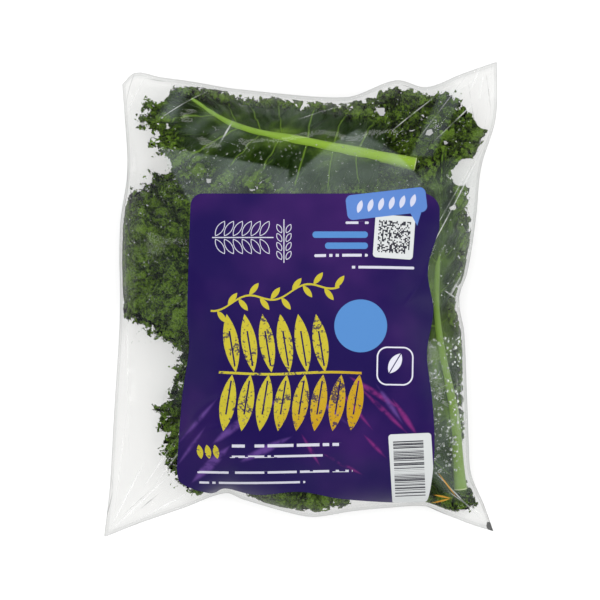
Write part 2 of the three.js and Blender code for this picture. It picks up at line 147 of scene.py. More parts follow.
LEFT_EDGE = through(
    (
        (-134, -111), (-98, -106.5), (-27, -102), (0, -100.8), (22, -101), (45, -100.4), (72, -97.2),
        (105, -99), (130, -101),
    )
)
RIGHT_EDGE = through(
    (
        (-131, 109.5), (-116, 104), (-98, 96.3), (-80, 94.6), (-55, 93.6), (-18, 92.2), (-6, 89.8),
        (3, 89.4), (15, 93.5), (46, 98.5), (75, 102), (102, 110.2), (134, 111),
    )
)
BOTTOM_EDGE = through(
    (
        (-110, -134), (-90, -125.5), (-65, -116.5), (-42, -108.5), (-32, -112), (-4, -119.5),
        (8, -121.2), (28, -118.6), (48, -117), (70, -116), (78, -119), (88, -123), (98, -127),
        (110, -131),
    )
)
TOP_EDGE = through(
    (
        (-101, 121), (-93, 127.8), (-78, 125), (-60, 122.5), (-35, 118.5), (25, 113.5), (54, 123.5),
        (71, 119.5), (91, 127), (110, 134),
    )
)


def smooth(start, end, x):
    """From 0 at one value of x to 1 at another, which may be the lower one."""
    t = np.clip((x - start) / (end - start), 0, 1)
    return t * t * (3 - 2 * t)


def mix(a, b, t):
    return a + (b - a) * t


# ------------------------------------------------------------------ the bag's own shape
def across(x, y):
    """How far across and up the bag a point of the plan lies, each from -1 to 1."""
    left, right = LEFT_EDGE(y), RIGHT_EDGE(y)
    bottom, top = BOTTOM_EDGE(x), TOP_EDGE(x)
    return 2 * (x - left) / (right - left) - 1, 2 * (y - bottom) / (top - bottom) - 1


def drawn_in(z):
    """How much nearer the middle a point at height z lies than where it is laid out at the weld's level."""
    return (DRAWN_FROM - z) / (DRAWN_FROM - WELD_HEIGHT)


def place(u, v):
    """The point of the plan that lies so far across and up the bag."""
    x, y = 100.0 * u, 120.0 * v
    for _ in range(12):
        x, y = mix(LEFT_EDGE(y), RIGHT_EDGE(y), (u + 1) / 2), mix(BOTTOM_EDGE(x), TOP_EDGE(x), (v + 1) / 2)
    return x, y


def fullness(x, y):
    """How full the bag is at a point, from 0 at the weld to 1."""
    u, v = across(x, y)
    round_u = np.maximum(0, 1 - np.abs(u / WELD_U) ** ROUND_POWER) ** ROUND_EASE
    round_v = np.maximum(0, 1 - np.abs(v / WELD_V) ** ROUND_POWER) ** ROUND_EASE
    empty = smooth(-38, -82, x) * smooth(24, -40, y)
    return round_u * round_v * (1 - SLACK * empty)


def middle(x, y):
    """Height of the weld, which runs on through the bag as its middle level."""
    u, v = (np.clip(t, -1, 1) for t in across(x, y))
    waves = v**4 * np.sin(0.075 * x + 1.1) + u**4 * np.sin(0.06 * y - 0.4)
    return WELD_HEIGHT - EAR_DROP * (u * v) ** 2 + EAR_WAVE * waves


def front_height(x, y):
    lumps = np.sin(x / 13 + 0.7) * np.sin(y / 16 - 0.5) + 0.6 * np.sin((x - y) / 21)
    return middle(x, y) + WELD_THICK / 2 + fullness(x, y) * (BULGE_UP + LUMP * lumps)


def back_height(x, y):
    """The back film falls from the weld and lies flat on the surface in the middle."""
    fall = middle(x, y) - WELD_THICK / 2 - BULGE_DOWN * fullness(x, y)
    eased = (fall + SAG_BLEND) ** 2 / (4 * SAG_BLEND)
    return np.where(fall <= -SAG_BLEND, 0, np.where(fall >= SAG_BLEND, fall, eased))


# ------------------------------------------------------------------ the leaves
def rib_line(points, count=240):
    """Evenly spaced points of a centripetal Catmull-Rom spline through the rib's points."""
    p = [np.array(q, float) for q in points]
    p = [2 * p[0] - p[1], *p, 2 * p[-1] - p[-2]]
    t = np.linspace(0, 1, 80, endpoint=False)[:, None]
    pieces = []
    for a, b, c, d in zip(p, p[1:], p[2:], p[3:]):
        before, span, after = (np.sum(leg**2) ** 0.25 for leg in (b - a, c - b, d - c))
        leave = ((b - a) / before - (c - a) / (before + span) + (c - b) / span) * span
        reach = ((c - b) / span - (d - b) / (span + after) + (d - c) / after) * span
        squared = 3 * c - 3 * b - 2 * leave - reach
        cubed = 2 * b - 2 * c + leave + reach
        pieces.append(b + leave * t + squared * t**2 + cubed * t**3)
    line = np.concatenate([*pieces, p[-2][None]])
    length = np.concatenate([[0], np.cumsum(np.linalg.norm(np.diff(line, axis=0), axis=1))])
    even = np.linspace(0, length[-1], count)
    return np.stack([np.interp(even, length, line[:, k]) for k in (0, 1)], axis=1)


class Leaf:
    """One leaf's place among the others, and the shape of its rib."""

    def __init__(self, index, name, seed, rib, reach, waves, rise, side, frilled, tone, thick, shown, fine):
        self.index, self.name, self.seed = index, name, seed
        self.reach, self.waves, self.rise, self.side = reach, waves, rise, side
        self.frilled, self.tone, self.thick, self.shown, self.fine = frilled, tone, thick, shown, fine
        self.line = rib_line(rib)
        heading = np.gradient(self.line, axis=0)
        self.heading = heading / np.linalg.norm(heading, axis=1)[:, None]

    def rib(self, at):
        """The rib's point and heading at a share of its length: x, y, ahead x, ahead y."""
        k = np.clip(at, 0, 1) * (len(self.line) - 1)
        steps = np.arange(len(self.line))
        return [np.interp(k, steps, column) for column in (*self.line.T, *self.heading.T)]


def make_leaves():
    return [Leaf(index, *row) for index, row in enumerate(LEAVES)]


def width_at(s):
    """The blade's half-width along the rib, s from 0 at the stalk to 1 at the tip."""
    return 0.34 + 0.66 * np.sin(math.pi * (0.07 + 0.68 * s)) ** 0.8


def rib_radius(at):
    return mix(RIB_BASE, RIB_TIP, np.clip(at, 0, 1) ** 0.8)


GRID_X = np.arange(-114.0, 115.0, GRID_STEP)
GRID_Y = np.arange(-138.0, 139.0, GRID_STEP)


def storey_shares(leaves):
    """The share of the bag's depth that lies below each leaf's storey, on a grid of the plan."""
    x, y = np.meshgrid(GRID_X, GRID_Y)
    parts = []
    for leaf in leaves:
        at = np.linspace(0, 1, 25)
        px, py, _, _ = leaf.rib(at)
        away = np.hypot(px[:, None, None] - x, py[:, None, None] - y)
        nearest = at[away.argmin(axis=0)]
        distance = away.min(axis=0)
        s = np.maximum(0, (nearest - BLADE_START) / (1 - BLADE_START))
        share = distance / (leaf.reach * width_at(s))
        parts.append(0.02 + smooth(1.8, 0.8, share) + 1.5 * np.exp(-((distance / 11) ** 2)))
    below = np.cumsum([np.zeros_like(x), *parts], axis=0)
    return below / below[-1]


def sampled(grid, x, y):
    """The grid's value at any point of the plan."""
    i = np.clip((x - GRID_X[0]) / GRID_STEP, 0, len(GRID_X) - 1.001)
    j = np.clip((y - GRID_Y[0]) / GRID_STEP, 0, len(GRID_Y) - 1.001)
    i0, j0 = i.astype(int), j.astype(int)
    p, q = i - i0, j - j0
    low = mix(grid[j0, i0], grid[j0, i0 + 1], p)
    return mix(low, mix(grid[j0 + 1, i0], grid[j0 + 1, i0 + 1], p), q)


def storey(leaf, shares, x, y):
    """The lowest and highest level for a leaf at each point."""
    low = back_height(x, y) + 1.1
    high = front_height(x, y) - 1.1
    return [
        mix(low, high, sampled(shares[leaf.index], x, y)) + LEAF_GAP / 2,
        mix(low, high, sampled(shares[leaf.index + 1], x, y)) - LEAF_GAP / 2,
    ]


def gathered(x, y, start=GATHER_FROM, stop=GATHER_TO):
    """Margins that would reach the weld are gathered in front of it."""

    def soft(t):
        over = np.maximum(0, np.abs(t) - start)
        room = stop - start
        return np.where(np.abs(t) > start, np.sign(t) * (start + room * (1 - np.exp(-over / room))), t)

    u, v = across(x, y)
    return place(soft(u), soft(v))


def blade_plan(leaf, m, r):
    """A point of the blade in plan. m runs round the margin, from -1 at the stalk's right over 0 at the tip
    to 1 at its left, and r from 0 on the midrib to 1 at the margin."""
    s = 1 - np.abs(m)
    x, y, ahead_x, ahead_y = leaf.rib(mix(BLADE_START, 1, s))
    turn = np.sign(m) * np.radians(mix(94, 0, s**1.5))
    lobes = 1 + 0.1 * np.sin(2.2 * leaf.waves * m + leaf.seed) + 0.05 * np.sin(5.1 * leaf.waves * m)
    out = leaf.reach * width_at(s) * lobes * r
    dx = ahead_x * np.cos(turn) - ahead_y * np.sin(turn)
    dy = ahead_x * np.sin(turn) + ahead_y * np.cos(turn)
    return gathered(x + out * dx, y + out * dy)


def ruffle(leaf, m, r):
    """How high the blade lies in its storey, from -1 to 1: steady at the rib, ruffled at the margin."""
    phase = leaf.seed * 1.7 + np.sign(m)
    along = 2 * math.pi * leaf.waves * m + 1.3 * np.sin(6.1 * m + phase) + 0.5 * np.sin(17 * m + phase)
    swing = 0.75 + 0.25 * np.sin(11.3 * m + 2 * phase)
    fold = 0.25 * np.sin(along + phase + 1) * np.sin(math.pi * r) ** 2
    big = np.sin(along + phase) * swing * r**1.4
    small = 0.45 * np.sin(2.3 * along + phase * 3) * r**3
    return np.clip(leaf.rise * (1 - r) ** 1.5 + fold + big + small, -1, 1)


def wander(seed, t, slowest, fastest, count=7):
    """A smooth random wave of t, between about -1 and 1."""
    draw = np.random.default_rng(seed)
    pace = draw.uniform(slowest, fastest, count)
    start = draw.uniform(0, 2 * math.pi, count)
    return sum(np.sin(p * t + a) for p, a in zip(pace, start)) / count**0.5


def bumps(seed, x, y, shortest, longest, count=16):
    """Smooth random relief of the plan, between about -1 and 1, with waves of those lengths."""
    draw = np.random.default_rng(seed)
    pace = 2 * math.pi / draw.uniform(shortest, longest, count)
    way = draw.uniform(0, 2 * math.pi, count)
    start = draw.uniform(0, 2 * math.pi, count)
    waves = (np.cos(p * (np.cos(w) * x + np.sin(w) * y) + a) for p, w, a in zip(pace, way, start))
    return sum(waves) / (count / 2) ** 0.5


def directions(points):
    """The unit directions of a surface: along its rows, and square to it."""

    def unit(v):
        return v / np.maximum(np.linalg.norm(v, axis=-1, keepdims=True), 1e-6)

    along = unit(np.gradient(points, axis=1))
    outward = unit(np.gradient(points, axis=0))
    return along, unit(np.cross(outward, along))


def folded(points, phase, height, roll):
    """Folds a surface over: square to itself by height, and along its margin by roll, so folds overhang."""
    along, square = directions(points)
    lift, shift = height * np.sin(phase), roll * np.sin(2 * phase)
    return points + lift[..., None] * square - shift[..., None] * along


def rib_room(leaf, shares, x, y, s, near):
    """The levels between which the blade's middle may lie, with room for its midrib where near is 1."""
    low, high = storey(leaf, shares, x, y)
    radius = rib_radius(mix(BLADE_START, 1, s)) * near
    above, beneath = (1.0, 0.3) if leaf.side > 0 else (0.3, 1.0)
    low = low + 0.45 + radius * beneath
    return low, np.maximum(high - 0.45 - radius * above, low)


def blade_surface(leaf, shares, columns, rows, height):
    """The blade as a grid of points, a row for each step from the midrib to the margin, with m, r, how
    frilled it is, and how far it stands out of its surroundings, from 0 in a dip to 1 on a crest, from
    which the leaf's material paints shade in the dips and light on the crests."""
    m = np.linspace(-1, 1, columns)[None, :]
    r = (np.linspace(0, 1, rows) ** 0.85)[:, None]
    seed = leaf.seed
    margin = 1 + 0.07 * wander(seed, m, 30, 60) + 0.045 * wander(seed + 1, m, 110, 210, 9)
    margin = margin + 0.03 * wander(seed + 11, m, 300, 520, 9)
    for name, at, wide, growth in LOBES:
        margin = margin + (name == leaf.name) * growth * np.exp(-(((m - at) / wide) ** 2))
    reach = r * mix(1, margin, smooth(0.55, 1, r))
    m, r = np.broadcast_arrays(m, r)
    x, y = blade_plan(leaf, m, reach)
    low, high = rib_room(leaf, shares, x, y, 1 - np.abs(m), np.maximum(0, 1 - r / 0.13))
    points = np.stack([x, y, mix(low, high, (1 + ruffle(leaf, m, r)) / 2)], axis=-1)
    # The lamina quilts between its veins.
    grown = smooth(0.02, 0.2, r)
    frill = smooth(leaf.frilled, min(1, leaf.frilled + 0.55), r)
    _, square = directions(points)
    quilt = mix(0.45, 0.8, frill) * bumps(seed + 2, x, y, 5, 11)
    quilt = quilt + 0.45 * frill * bumps(seed + 6, x, y, 2.0, 4.0, 24)
    points = points + (grown * quilt)[..., None] * square
    # Frills: folds on folds, finer towards the margin.
    drift = 2.2 * wander(seed + 3, m + 0.12 * r, 4, 16) + 0.9 * bumps(seed + 12, x, y, 14, 30)
    points = folded(points, 2 * math.pi * 15 * m + drift + 2.4 * r, height * frill, 0.36 * height * frill)
    drift = 2.6 * wander(seed + 4, m + 0.1 * r, 14, 50) + 1.3 * bumps(seed + 13, x, y, 7, 15)
    points = folded(points, 2 * math.pi * 44 * m + drift - 4.1 * r, 2.1 * frill, 0.7 * frill)
    drift = 2.0 * wander(seed + 5, m, 60, 140) + 1.6 * bumps(seed + 14, x, y, 4, 9)
    points = folded(points, 2 * math.pi * 104 * m + drift + 9 * r, 1.15 * frill**1.2, 0.36 * frill**1.2)
    points = packed_in(leaf, shares, points)
    # How far each point stands above its neighbours, which the leaf's material turns into painted shade and
    # light.
    rough = points[..., 2] - averaged(points[..., 2], 7, 9)
    return m, r, points, frill, np.clip(0.5 + rough / 2.4, 0, 1)


def averaged(grid, rows, columns):
    """The mean of a grid's values over a window round each."""
    for axis, half in ((0, rows // 2), (1, columns // 2)):
        pad = [(0, 0), (0, 0)]
        pad[axis] = (half + 1, half)
        total = np.cumsum(np.pad(grid, pad, mode="edge"), axis=axis)
        count = grid.shape[axis]
        upper = np.take(total, np.arange(2 * half + 1, 2 * half + 1 + count), axis=axis)
        grid = (upper - np.take(total, np.arange(count), axis=axis)) / (2 * half + 1)
    return grid


def packed_in(leaf, shares, points):
    """Keeps a leaf's points inside the bag, and near its own storey."""
    x, y = gathered(points[..., 0], points[..., 1], 0.962, 0.982)
    low, high = storey(leaf, shares, x, y)
    centre, half = (low + high) / 2, (high - low) / 2 + 1.2
    z = centre + half * np.tanh((points[..., 2] - centre) / half * 1.15)
    z = np.clip(z, back_height(x, y) + 0.9, np.maximum(front_height(x, y) - 1.0, back_height(x, y) + 1.0))
    return np.stack([x, y, z], axis=-1)


def rib_surface(leaf, shares, rows=110, columns=15):
    """The midrib from its cut end to the tip: a tube that stands out on one side of the blade."""
    at = np.linspace(0, 0.985, rows)[:, None]
    turn = np.linspace(0, 2 * math.pi, columns)[None, :]
    x, y, ahead_x, ahead_y = leaf.rib(at)
    s = np.maximum(0, (at - BLADE_START) / (1 - BLADE_START))
    low, high = rib_room(leaf, shares, x, y, s, np.ones_like(x))
    level = mix(low, high, (1 + leaf.rise) / 2) - 3.2 * smooth(leaf.shown + 0.04, leaf.shown + 0.2, at)
    uneven = 1 + 0.05 * wander(leaf.seed + 6, at, 8, 30)
    radius = leaf.thick * rib_radius(at) * uneven * smooth(-0.004, 0.008, 1 - at) ** 0.5
    flat = smooth(BLADE_START - 0.06, BLADE_START + 0.1, at)
    rise = leaf.side * np.sin(turn)
    tall = np.where(rise * leaf.side > 0, 1.0, mix(1.0, 0.42, flat)) * radius
    side = radius * np.cos(turn) * mix(1.0, 1.12, flat)
    return np.stack([x + ahead_y * side, y - ahead_x * side, level + tall * rise], axis=-1), at + 0 * turn


# ------------------------------------------------------------------ meshes
def sheet_mesh(name, sheets, material):
    """One object of grids of points. Each sheet is (points, {attribute name: values}), in millimetres."""
    bm = bmesh.new()
    for points, _ in sheets:
        rows, columns = points.shape[:2]
        bmesh.ops.create_grid(bm, x_segments=columns - 1, y_segments=rows - 1, size=1)
    mesh = bpy.data.meshes.new(name)
    bm.to_mesh(mesh)
    bm.free()
    mesh.vertices.foreach_set("co", np.concatenate([p.reshape(-1, 3) for p, _ in sheets]).ravel() * MM)
    for key in sheets[0][1]:
        values = np.concatenate([np.broadcast_to(extra[key], p.shape[:2]).ravel() for p, extra in sheets])
        mesh.attributes.new(key, "FLOAT", "POINT").data.foreach_set("value", values.astype(np.float32))
    return finish_mesh(mesh, material)


def add_object(name, data):
    obj = bpy.data.objects.new(name, data)
    bpy.context.scene.collection.objects.link(obj)
    return obj


def finish_mesh(mesh, material):
    """Smooths a mesh, gives it its material and links it as an object at the origin."""
    mesh.polygons.foreach_set("use_smooth", [True] * len(mesh.polygons))
    mesh.update()
    mesh.materials.append(material)
    return add_object(mesh.name, mesh)


def cut_away(obj, gone):
    """Deletes the marked vertices of a mesh."""
    bm = bmesh.new()
    bm.from_mesh(obj.data)
    bmesh.ops.delete(bm, geom=[v for v, out in zip(bm.verts, gone.ravel()) if out], context="VERTS")
    bm.to_mesh(obj.data)
    bm.free()


def stand_for(obj, node):
    """Puts a finished piece in a node's place."""
    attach(obj, "root")
    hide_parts(node)


# ------------------------------------------------------------------ shader maths
class Wire:
    """A node's output that can be added, multiplied and compared."""

    def __init__(self, tree, socket):
        self.tree = tree
        self.socket = socket

    def node(self, kind, inputs, output=0, **settings):
        return make_node(self.tree, kind, inputs, output, **settings)

    def math(self, operation, *others):
        return self.node("ShaderNodeMath", dict(enumerate((self, *others))), operation=operation)

    def __add__(self, other):
        return self.math("ADD", other)

    def __sub__(self, other):
        return self.math("SUBTRACT", other)

    def __mul__(self, other):
        return self.math("MULTIPLY", other)

    def __abs__(self):
        return self.math("ABSOLUTE")

    def least(self, other):
        return self.math("MINIMUM", other)

    def most(self, other):
        return self.math("MAXIMUM", other)

    def ramp(self, start, end):
        """From 0 at one value to 1 at another, eased."""
        inputs = {"Value": self, "From Min": start, "From Max": end}
        return self.node("ShaderNodeMapRange", inputs, interpolation_type="SMOOTHSTEP")


def make_node(tree, kind, inputs, output=0, **settings):
    """Adds a node, sets it and feeds its inputs by name or number. Returns one output as a Wire."""
    node = tree.nodes.new(kind)
    for key, value in settings.items():
        setattr(node, key, value)
    shown = [socket for socket in node.inputs if socket.enabled]
    for key, value in inputs.items():
        socket = shown[key] if isinstance(key, int) else next(s for s in shown if s.name == key)
        if isinstance(value, Wire):
            tree.links.new(value.socket, socket)
        else:
            socket.default_value = value
    outputs = [socket for socket in node.outputs if socket.enabled]
    if not outputs:
        return None
    return Wire(tree, outputs[output] if isinstance(output, int) else node.outputs[output])


def new_tree(name):
    """An empty material and its node tree."""
    material = bpy.data.materials.new(name)
    material.use_nodes = True
    material.node_tree.nodes.clear()
    return material, material.node_tree


def finish_tree(tree, shader):
    make_node(tree, "ShaderNodeOutputMaterial", {"Surface": shader})


def attribute(tree, name):
    return make_node(tree, "ShaderNodeAttribute", {}, "Fac", attribute_name=name)


def object_place(tree):
    return make_node(tree, "ShaderNodeTexCoord", {}, "Object")


def millimetres(tree):
    """The place across, up and above the bag, in millimetres."""
    node = make_node(tree, "ShaderNodeSeparateXYZ", {"Vector": object_place(tree)}).socket.node
    return [Wire(tree, node.outputs[axis]) * 1000.0 for axis in ("X", "Y", "Z")]


def blend(factor, a, b):
    """A colour between two others."""
    return factor.node("ShaderNodeMix", {"Factor": factor, "A": a, "B": b}, data_type="RGBA")


def noise(where, scale, detail=2.0, roughness=0.5):
    inputs = {"Vector": where, "Scale": scale, "Detail": detail, "Roughness": roughness}
    return where.node("ShaderNodeTexNoise", inputs, "Fac")


def matt(tree, colour):
    return make_node(tree, "ShaderNodeBsdfDiffuse", {"Color": colour})


def coated(colour, roughness, normal, shine):
    """A surface of one colour, with its relief and how strongly it mirrors."""
    inputs = {"Base Color": colour, "Roughness": roughness, "Normal": normal, "Specular IOR Level": shine}
    return colour.node("ShaderNodeBsdfPrincipled", inputs)


def either(factor, a, b):
    """One shader over another."""
    return a.node("ShaderNodeMixShader", {"Fac": factor, 1: a, 2: b})


# ------------------------------------------------------------------ flat shapes in a shader
def turned(x, y, centre, degrees):
    """Coordinates from a centre, turned back by an angle."""
    c, s = math.cos(math.radians(degrees)), math.sin(math.radians(degrees))
    dx, dy = x - centre[0], y - centre[1]
    return dx * c + dy * s, dy * c - dx * s


def to_box(x, y, wide, tall, radius):
    """How far outside a rounded box a point lies, which is less than nothing inside it."""
    qx, qy = abs(x) - (wide / 2 - radius), abs(y) - (tall / 2 - radius)
    px, py = qx.most(0.0), qy.most(0.0)
    return (px * px + py * py).math("SQRT") + qx.most(qy).least(0.0) - radius


def to_disc(x, y, radius):
    return (x * x + y * y).math("SQRT") - radius


def to_petal(x, y, centre, long, wide, degrees):
    """How far outside a pointed oval a point lies. The oval is long across its own y."""
    px, py = turned(x, y, centre, degrees)
    bow = (long * long / 4 + wide * wide / 4) / wide
    px = abs(px) + (bow - wide / 2)
    return (px * px + py * py).math("SQRT") - bow


def filled(distance, soft=0.12):
    return distance.ramp(soft, -soft)


def outlined(distance, wide, soft=0.12):
    return filled(abs(distance) - wide / 2, soft)


def together(shapes):
    """The nearest of several shapes."""
    first, *others = shapes
    for other in others:
        first = first.least(other)
    return first


def to_petals(x, y, rows):
    """The nearest of several pointed ovals: middle, length, width and lean from upright."""
    return together([to_petal(x, y, row[:2], *row[2:]) for row in rows])


# ------------------------------------------------------------------ the leaves' materials
# Gaps between the lobes of the margins, from above: middle, half-length, half-width and lean from upright.
GAPS = (
    (-79.5, 119, 8.5, 7.5, 0),
    (-93, 120, 8.5, 9, 0),
    (92, 72, 9, 6, -40),
    (-77, 75.5, 5.5, 5, 60),
    (102.5, 104, 9, 5.5, 10),
    (45.1, 106.7, 4.2, 2.0, 20),
    (72.5, 93.8, 2.6, 1.7, -60),
    (81.5, 88.2, 2.6, 1.2, 80),
    (63, 95.5, 1.5, 1.0, 0),
    (68.6, 102.2, 1.0, 1.6, 0),
    (88.8, 83.2, 1.8, 1.5, -30),
    (84.3, 79.8, 1.5, 1.0, 0),
    (88.8, 77, 1.8, 1.4, 20),
    (64.7, 66.9, 0.9, 2.0, -20),
    (86, 51.8, 0.9, 2.2, 10),
    (92.7, 38.9, 1.3, 0.8, 0),
    (-86, 105, 0.8, 1.4, 0),
    (-51.2, 66.9, 1.6, 1.8, 0),
    (28, 108, 1.2, 1.6, 0),
)

# Vertices deeper in a gap than this are deleted, and the notched margin round them is left to the material.
GAP_CUT = 0.1

# A bare stretch of stalk that shows beside the frills: its leaf, middle and half-size across and up.
STALK = ("leaf_upper_right", 99.5, 90.5, 5.0, 6.0)


def gap_at(points):
    """How deep in a gap each point is: 1 in its middle, 0 on its border and -1 well away from them all."""
    near = drawn_in(points[..., 2])
    deepest = np.full(points.shape[:-1], -1.0)
    for x, y, long, wide, lean in GAPS:
        c, s = math.cos(math.radians(lean)), math.sin(math.radians(lean))
        dx, dy = points[..., 0] / near - x, points[..., 1] / near - y
        away = np.hypot((dx * c + dy * s) / wide, (dy * c - dx * s) / long)
        deepest = np.maximum(deepest, 1 - away)
    return deepest


def leaf_material(colours):
    """Kale leaf, with painted shade darkening its hollows and painted light on the crests of its frills and
    on its finest curls, which are winding ridges. It is lighter along its veins, and the margin is notched
    and pierced by small holes."""
    material, tree = new_tree("kale_leaf")
    where = object_place(tree)
    crest, vein, tone = attribute(tree, "crest"), attribute(tree, "vein"), attribute(tree, "tone")
    frill, outward = attribute(tree, "frill"), attribute(tree, "r")
    patch = noise(where, 60.0, 2.0)
    curl = abs(noise(where, 420.0, 2.0, 0.5) - 0.5).ramp(0.11, 0.0) * frill
    crimp = abs(noise(where, 850.0, 1.0, 0.5) - 0.5).ramp(0.09, 0.0) * frill
    fine = noise(where, 1000.0, 2.0, 0.6)
    ragged = noise(where, 300.0, 3.0)
    lace = (outward + ragged * 0.9 - 1.36).most(attribute(tree, "gap") + ragged * 1.2 - 0.6)
    # Painted highlights on the winding curls and crimps, and a lighter rim along the notched margins and
    # round the holes.
    lit = lace.ramp(-0.14, 0.0) * frill * 0.45 + curl * 0.75 + crimp * 0.55
    # Painted shade and light: lighter on crests and higher points, darker in dips, mixed with tone that
    # differs at random.
    tips = crest * 0.8 + lit + patch * 0.25 + fine * 0.5 + tone - 0.95
    colour = blend(tips.ramp(0.0, 1.1), colours.hollow_shade, colours.frill)
    colour = blend(vein.ramp(0.1, 0.9) * 0.75, colour, colours.vein)
    relief = curl + crimp * 0.6 + fine * 0.3 + vein
    normal = fine.node("ShaderNodeBump", {"Strength": 0.8, "Distance": 0.0013, "Height": relief})
    skin = coated(colour, frill * 0.25 + 0.33, normal, 0.16)
    lit_through = make_node(tree, "ShaderNodeBsdfTranslucent", {"Color": (0.16, 0.30, 0.02, 1)})
    lamina = make_node(tree, "ShaderNodeMixShader", {"Fac": 0.12, 1: skin, 2: lit_through})
    clear = make_node(tree, "ShaderNodeBsdfTransparent", {"Color": WHITE})
    finish_tree(tree, either(lace.ramp(-0.006, 0.006), lamina, clear))
    return material


def rib_material(colours):
    """Midrib: pale at the cut end, greener towards the tip, with fine lengthways ridges."""
    material, tree = new_tree("kale_midrib")
    where = object_place(tree)
    at = attribute(tree, "r")
    streak = noise(where, 180.0, 3.0)
    colour = blend((at + streak * 0.4 - 0.2).ramp(0.1, 1.0), colours.midrib, colours.vein)
    colour = blend(attribute(tree, "dull"), colour, colours.dull)
    colour = blend(at.ramp(0.006, 0.0), colour, colours.cut)
    normal = streak.node("ShaderNodeBump", {"Strength": 0.3, "Distance": 0.0006, "Height": streak})
    finish_tree(tree, coated(colour, streak * 0.2 + 0.28, normal, 0.3))
    return material


def veins(leaf, m, r):
    """Where the side veins run: from 0 between them to 1 on them."""
    side = m - 0.05 * np.sign(m) * r + 0.01 * wander(leaf.seed + 9, m, 8, 22)
    main = np.abs((side * 8.5 + 0.5 * np.sign(m)) % 1 - 0.5) * 2
    fork = np.abs((side * 17 + 0.25 * np.sin(9 * r + leaf.seed)) % 1 - 0.5) * 2
    wide = mix(0.86, 0.96, r)
    main = smooth(wide, 1.0, main) * smooth(1.0, 0.55, r)
    fork = smooth(0.9, 1.0, fork) * smooth(0.3, 0.45, r) * smooth(0.95, 0.6, r) * 0.5
    return np.maximum(main, fork)


def build_leaves():
    """Every leaf: its frilled blade and its midrib."""
    colours = bpy.context.scene.kale_leaves
    leaves = make_leaves()
    shares = storey_shares(leaves)
    green, pale = leaf_material(colours), rib_material(colours)
    for leaf in leaves:
        columns, rows = FINE_BLADE if leaf.fine else BACK_BLADE
        m, r, points, frill, crest = blade_surface(leaf, shares, columns, rows, colours.frill_height / MM)
        tone = leaf.tone + 0.12 * bumps(leaf.seed + 8, points[..., 0], points[..., 1], 14, 40)
        shown = min(1, leaf.shown)
        tone = tone + 0.22 * shown * smooth(0.3, 0.05, r)
        vein = veins(leaf, m, r) * shown
        name, x, y, wide, tall = STALK
        if leaf.name == name:
            away = np.hypot((points[..., 0] - x) / wide, (points[..., 1] - y) / tall)
            vein = np.maximum(vein, 1.2 * smooth(1.15, 0.9, away))
        looks = {"crest": crest, "vein": vein, "tone": tone, "frill": frill, "r": r, "gap": gap_at(points)}
        blade = sheet_mesh(leaf.name + "_blade", [(points, looks)], green)
        cut_away(blade, looks["gap"] > GAP_CUT)
        stand_for(blade, leaf.name)
        rib, at = rib_surface(leaf, shares)
        looks = {"r": at, "dull": 0 * at + 1.9 * (1 - shown)}
        stand_for(sheet_mesh(leaf.name + "_midrib", [(rib, looks)], pale), leaf.name)


# ------------------------------------------------------------------ the film
# Creases of the front film: start, end, height, half-width and bow, in millimetres.
CREASES = (
    (-104, -131, -70, -92, 1.5, 3.0, 5),
    (-100, -131, -62, -104, 1.2, 2.4, -4),
    (-107, -124, -92, -70, 1.0, 2.6, -5),
    (-96, -128, -50, -112, 0.9, 2.0, 3),
    (-80, -98, -44, -56, 1.3, 1.6, 3),
    (-90, -108, -52, -62, 0.9, 1.8, -3),
    (-78, -92, -30, -66, 1.0, 2.4, 6),
    (-60, -66, -34, -52, 1.2, 3.0, 4),
    (101, 133, 108, 104, 0.9, 1.6, -2),
    (97, 128, 103, 98, 0.8, 1.4, 2),
    (90, 122, 62, 78, 1.4, 3.2, 4),
    (78, 120, 52, 84, 1.1, 2.2, -3),
    (62, 119, 36, 96, 0.8, 1.8, -3),
    (92, 58, 71, 20, 1.4, 0.9, 2),
    (71, 20, 57, -2, 0.7, 1.2, 1),
    (95, 64, 84, 36, 0.6, 1.2, -2),
    (88, 12, 78, -4, 1.5, 1.4, 2),
    (90, 6, 80, 2, 1.1, 1.2, -1),
    (89, -2, 80, 12, 1.1, 1.3, 1),
    (90, -20, 88, -62, 1.0, 1.2, 2),
    (86, -44, 89, -96, 0.9, 1.1, -2),
    (93, -70, 98, -112, 0.8, 1.4, 2),
    (76, -95, 101, -122, 1.2, 1.3, 0),
    (104, -130, 88, -108, 1.1, 1.5, -2),
    (84, -116, 100, -124, 0.8, 1.6, 2),
    (-100, 124, -82, 96, 1.1, 2.0, 3),
    (-96, 120, -92, 70, 0.8, 1.6, -2),
    (-88, 122, -60, 104, 0.8, 1.8, -3),
    (-74, 98, -26, 78, 0.7, 1.2, 2),
    (-64, 108, -44, 92, 0.8, 1.2, 2),
    (-58, 114, -30, 98, 0.6, 1.4, -2),
    (-10, 112, 14, 96, 0.6, 1.4, 2),
    (-4, 108, 30, 100, 0.7, 1.6, -2),
    (-92, 40, -94, -30, 0.6, 1.4, 3),
    (-97, -40, -96, -100, 0.7, 1.6, 2),
    (-88, -10, -86, -90, 0.5, 3.0, 3),
)
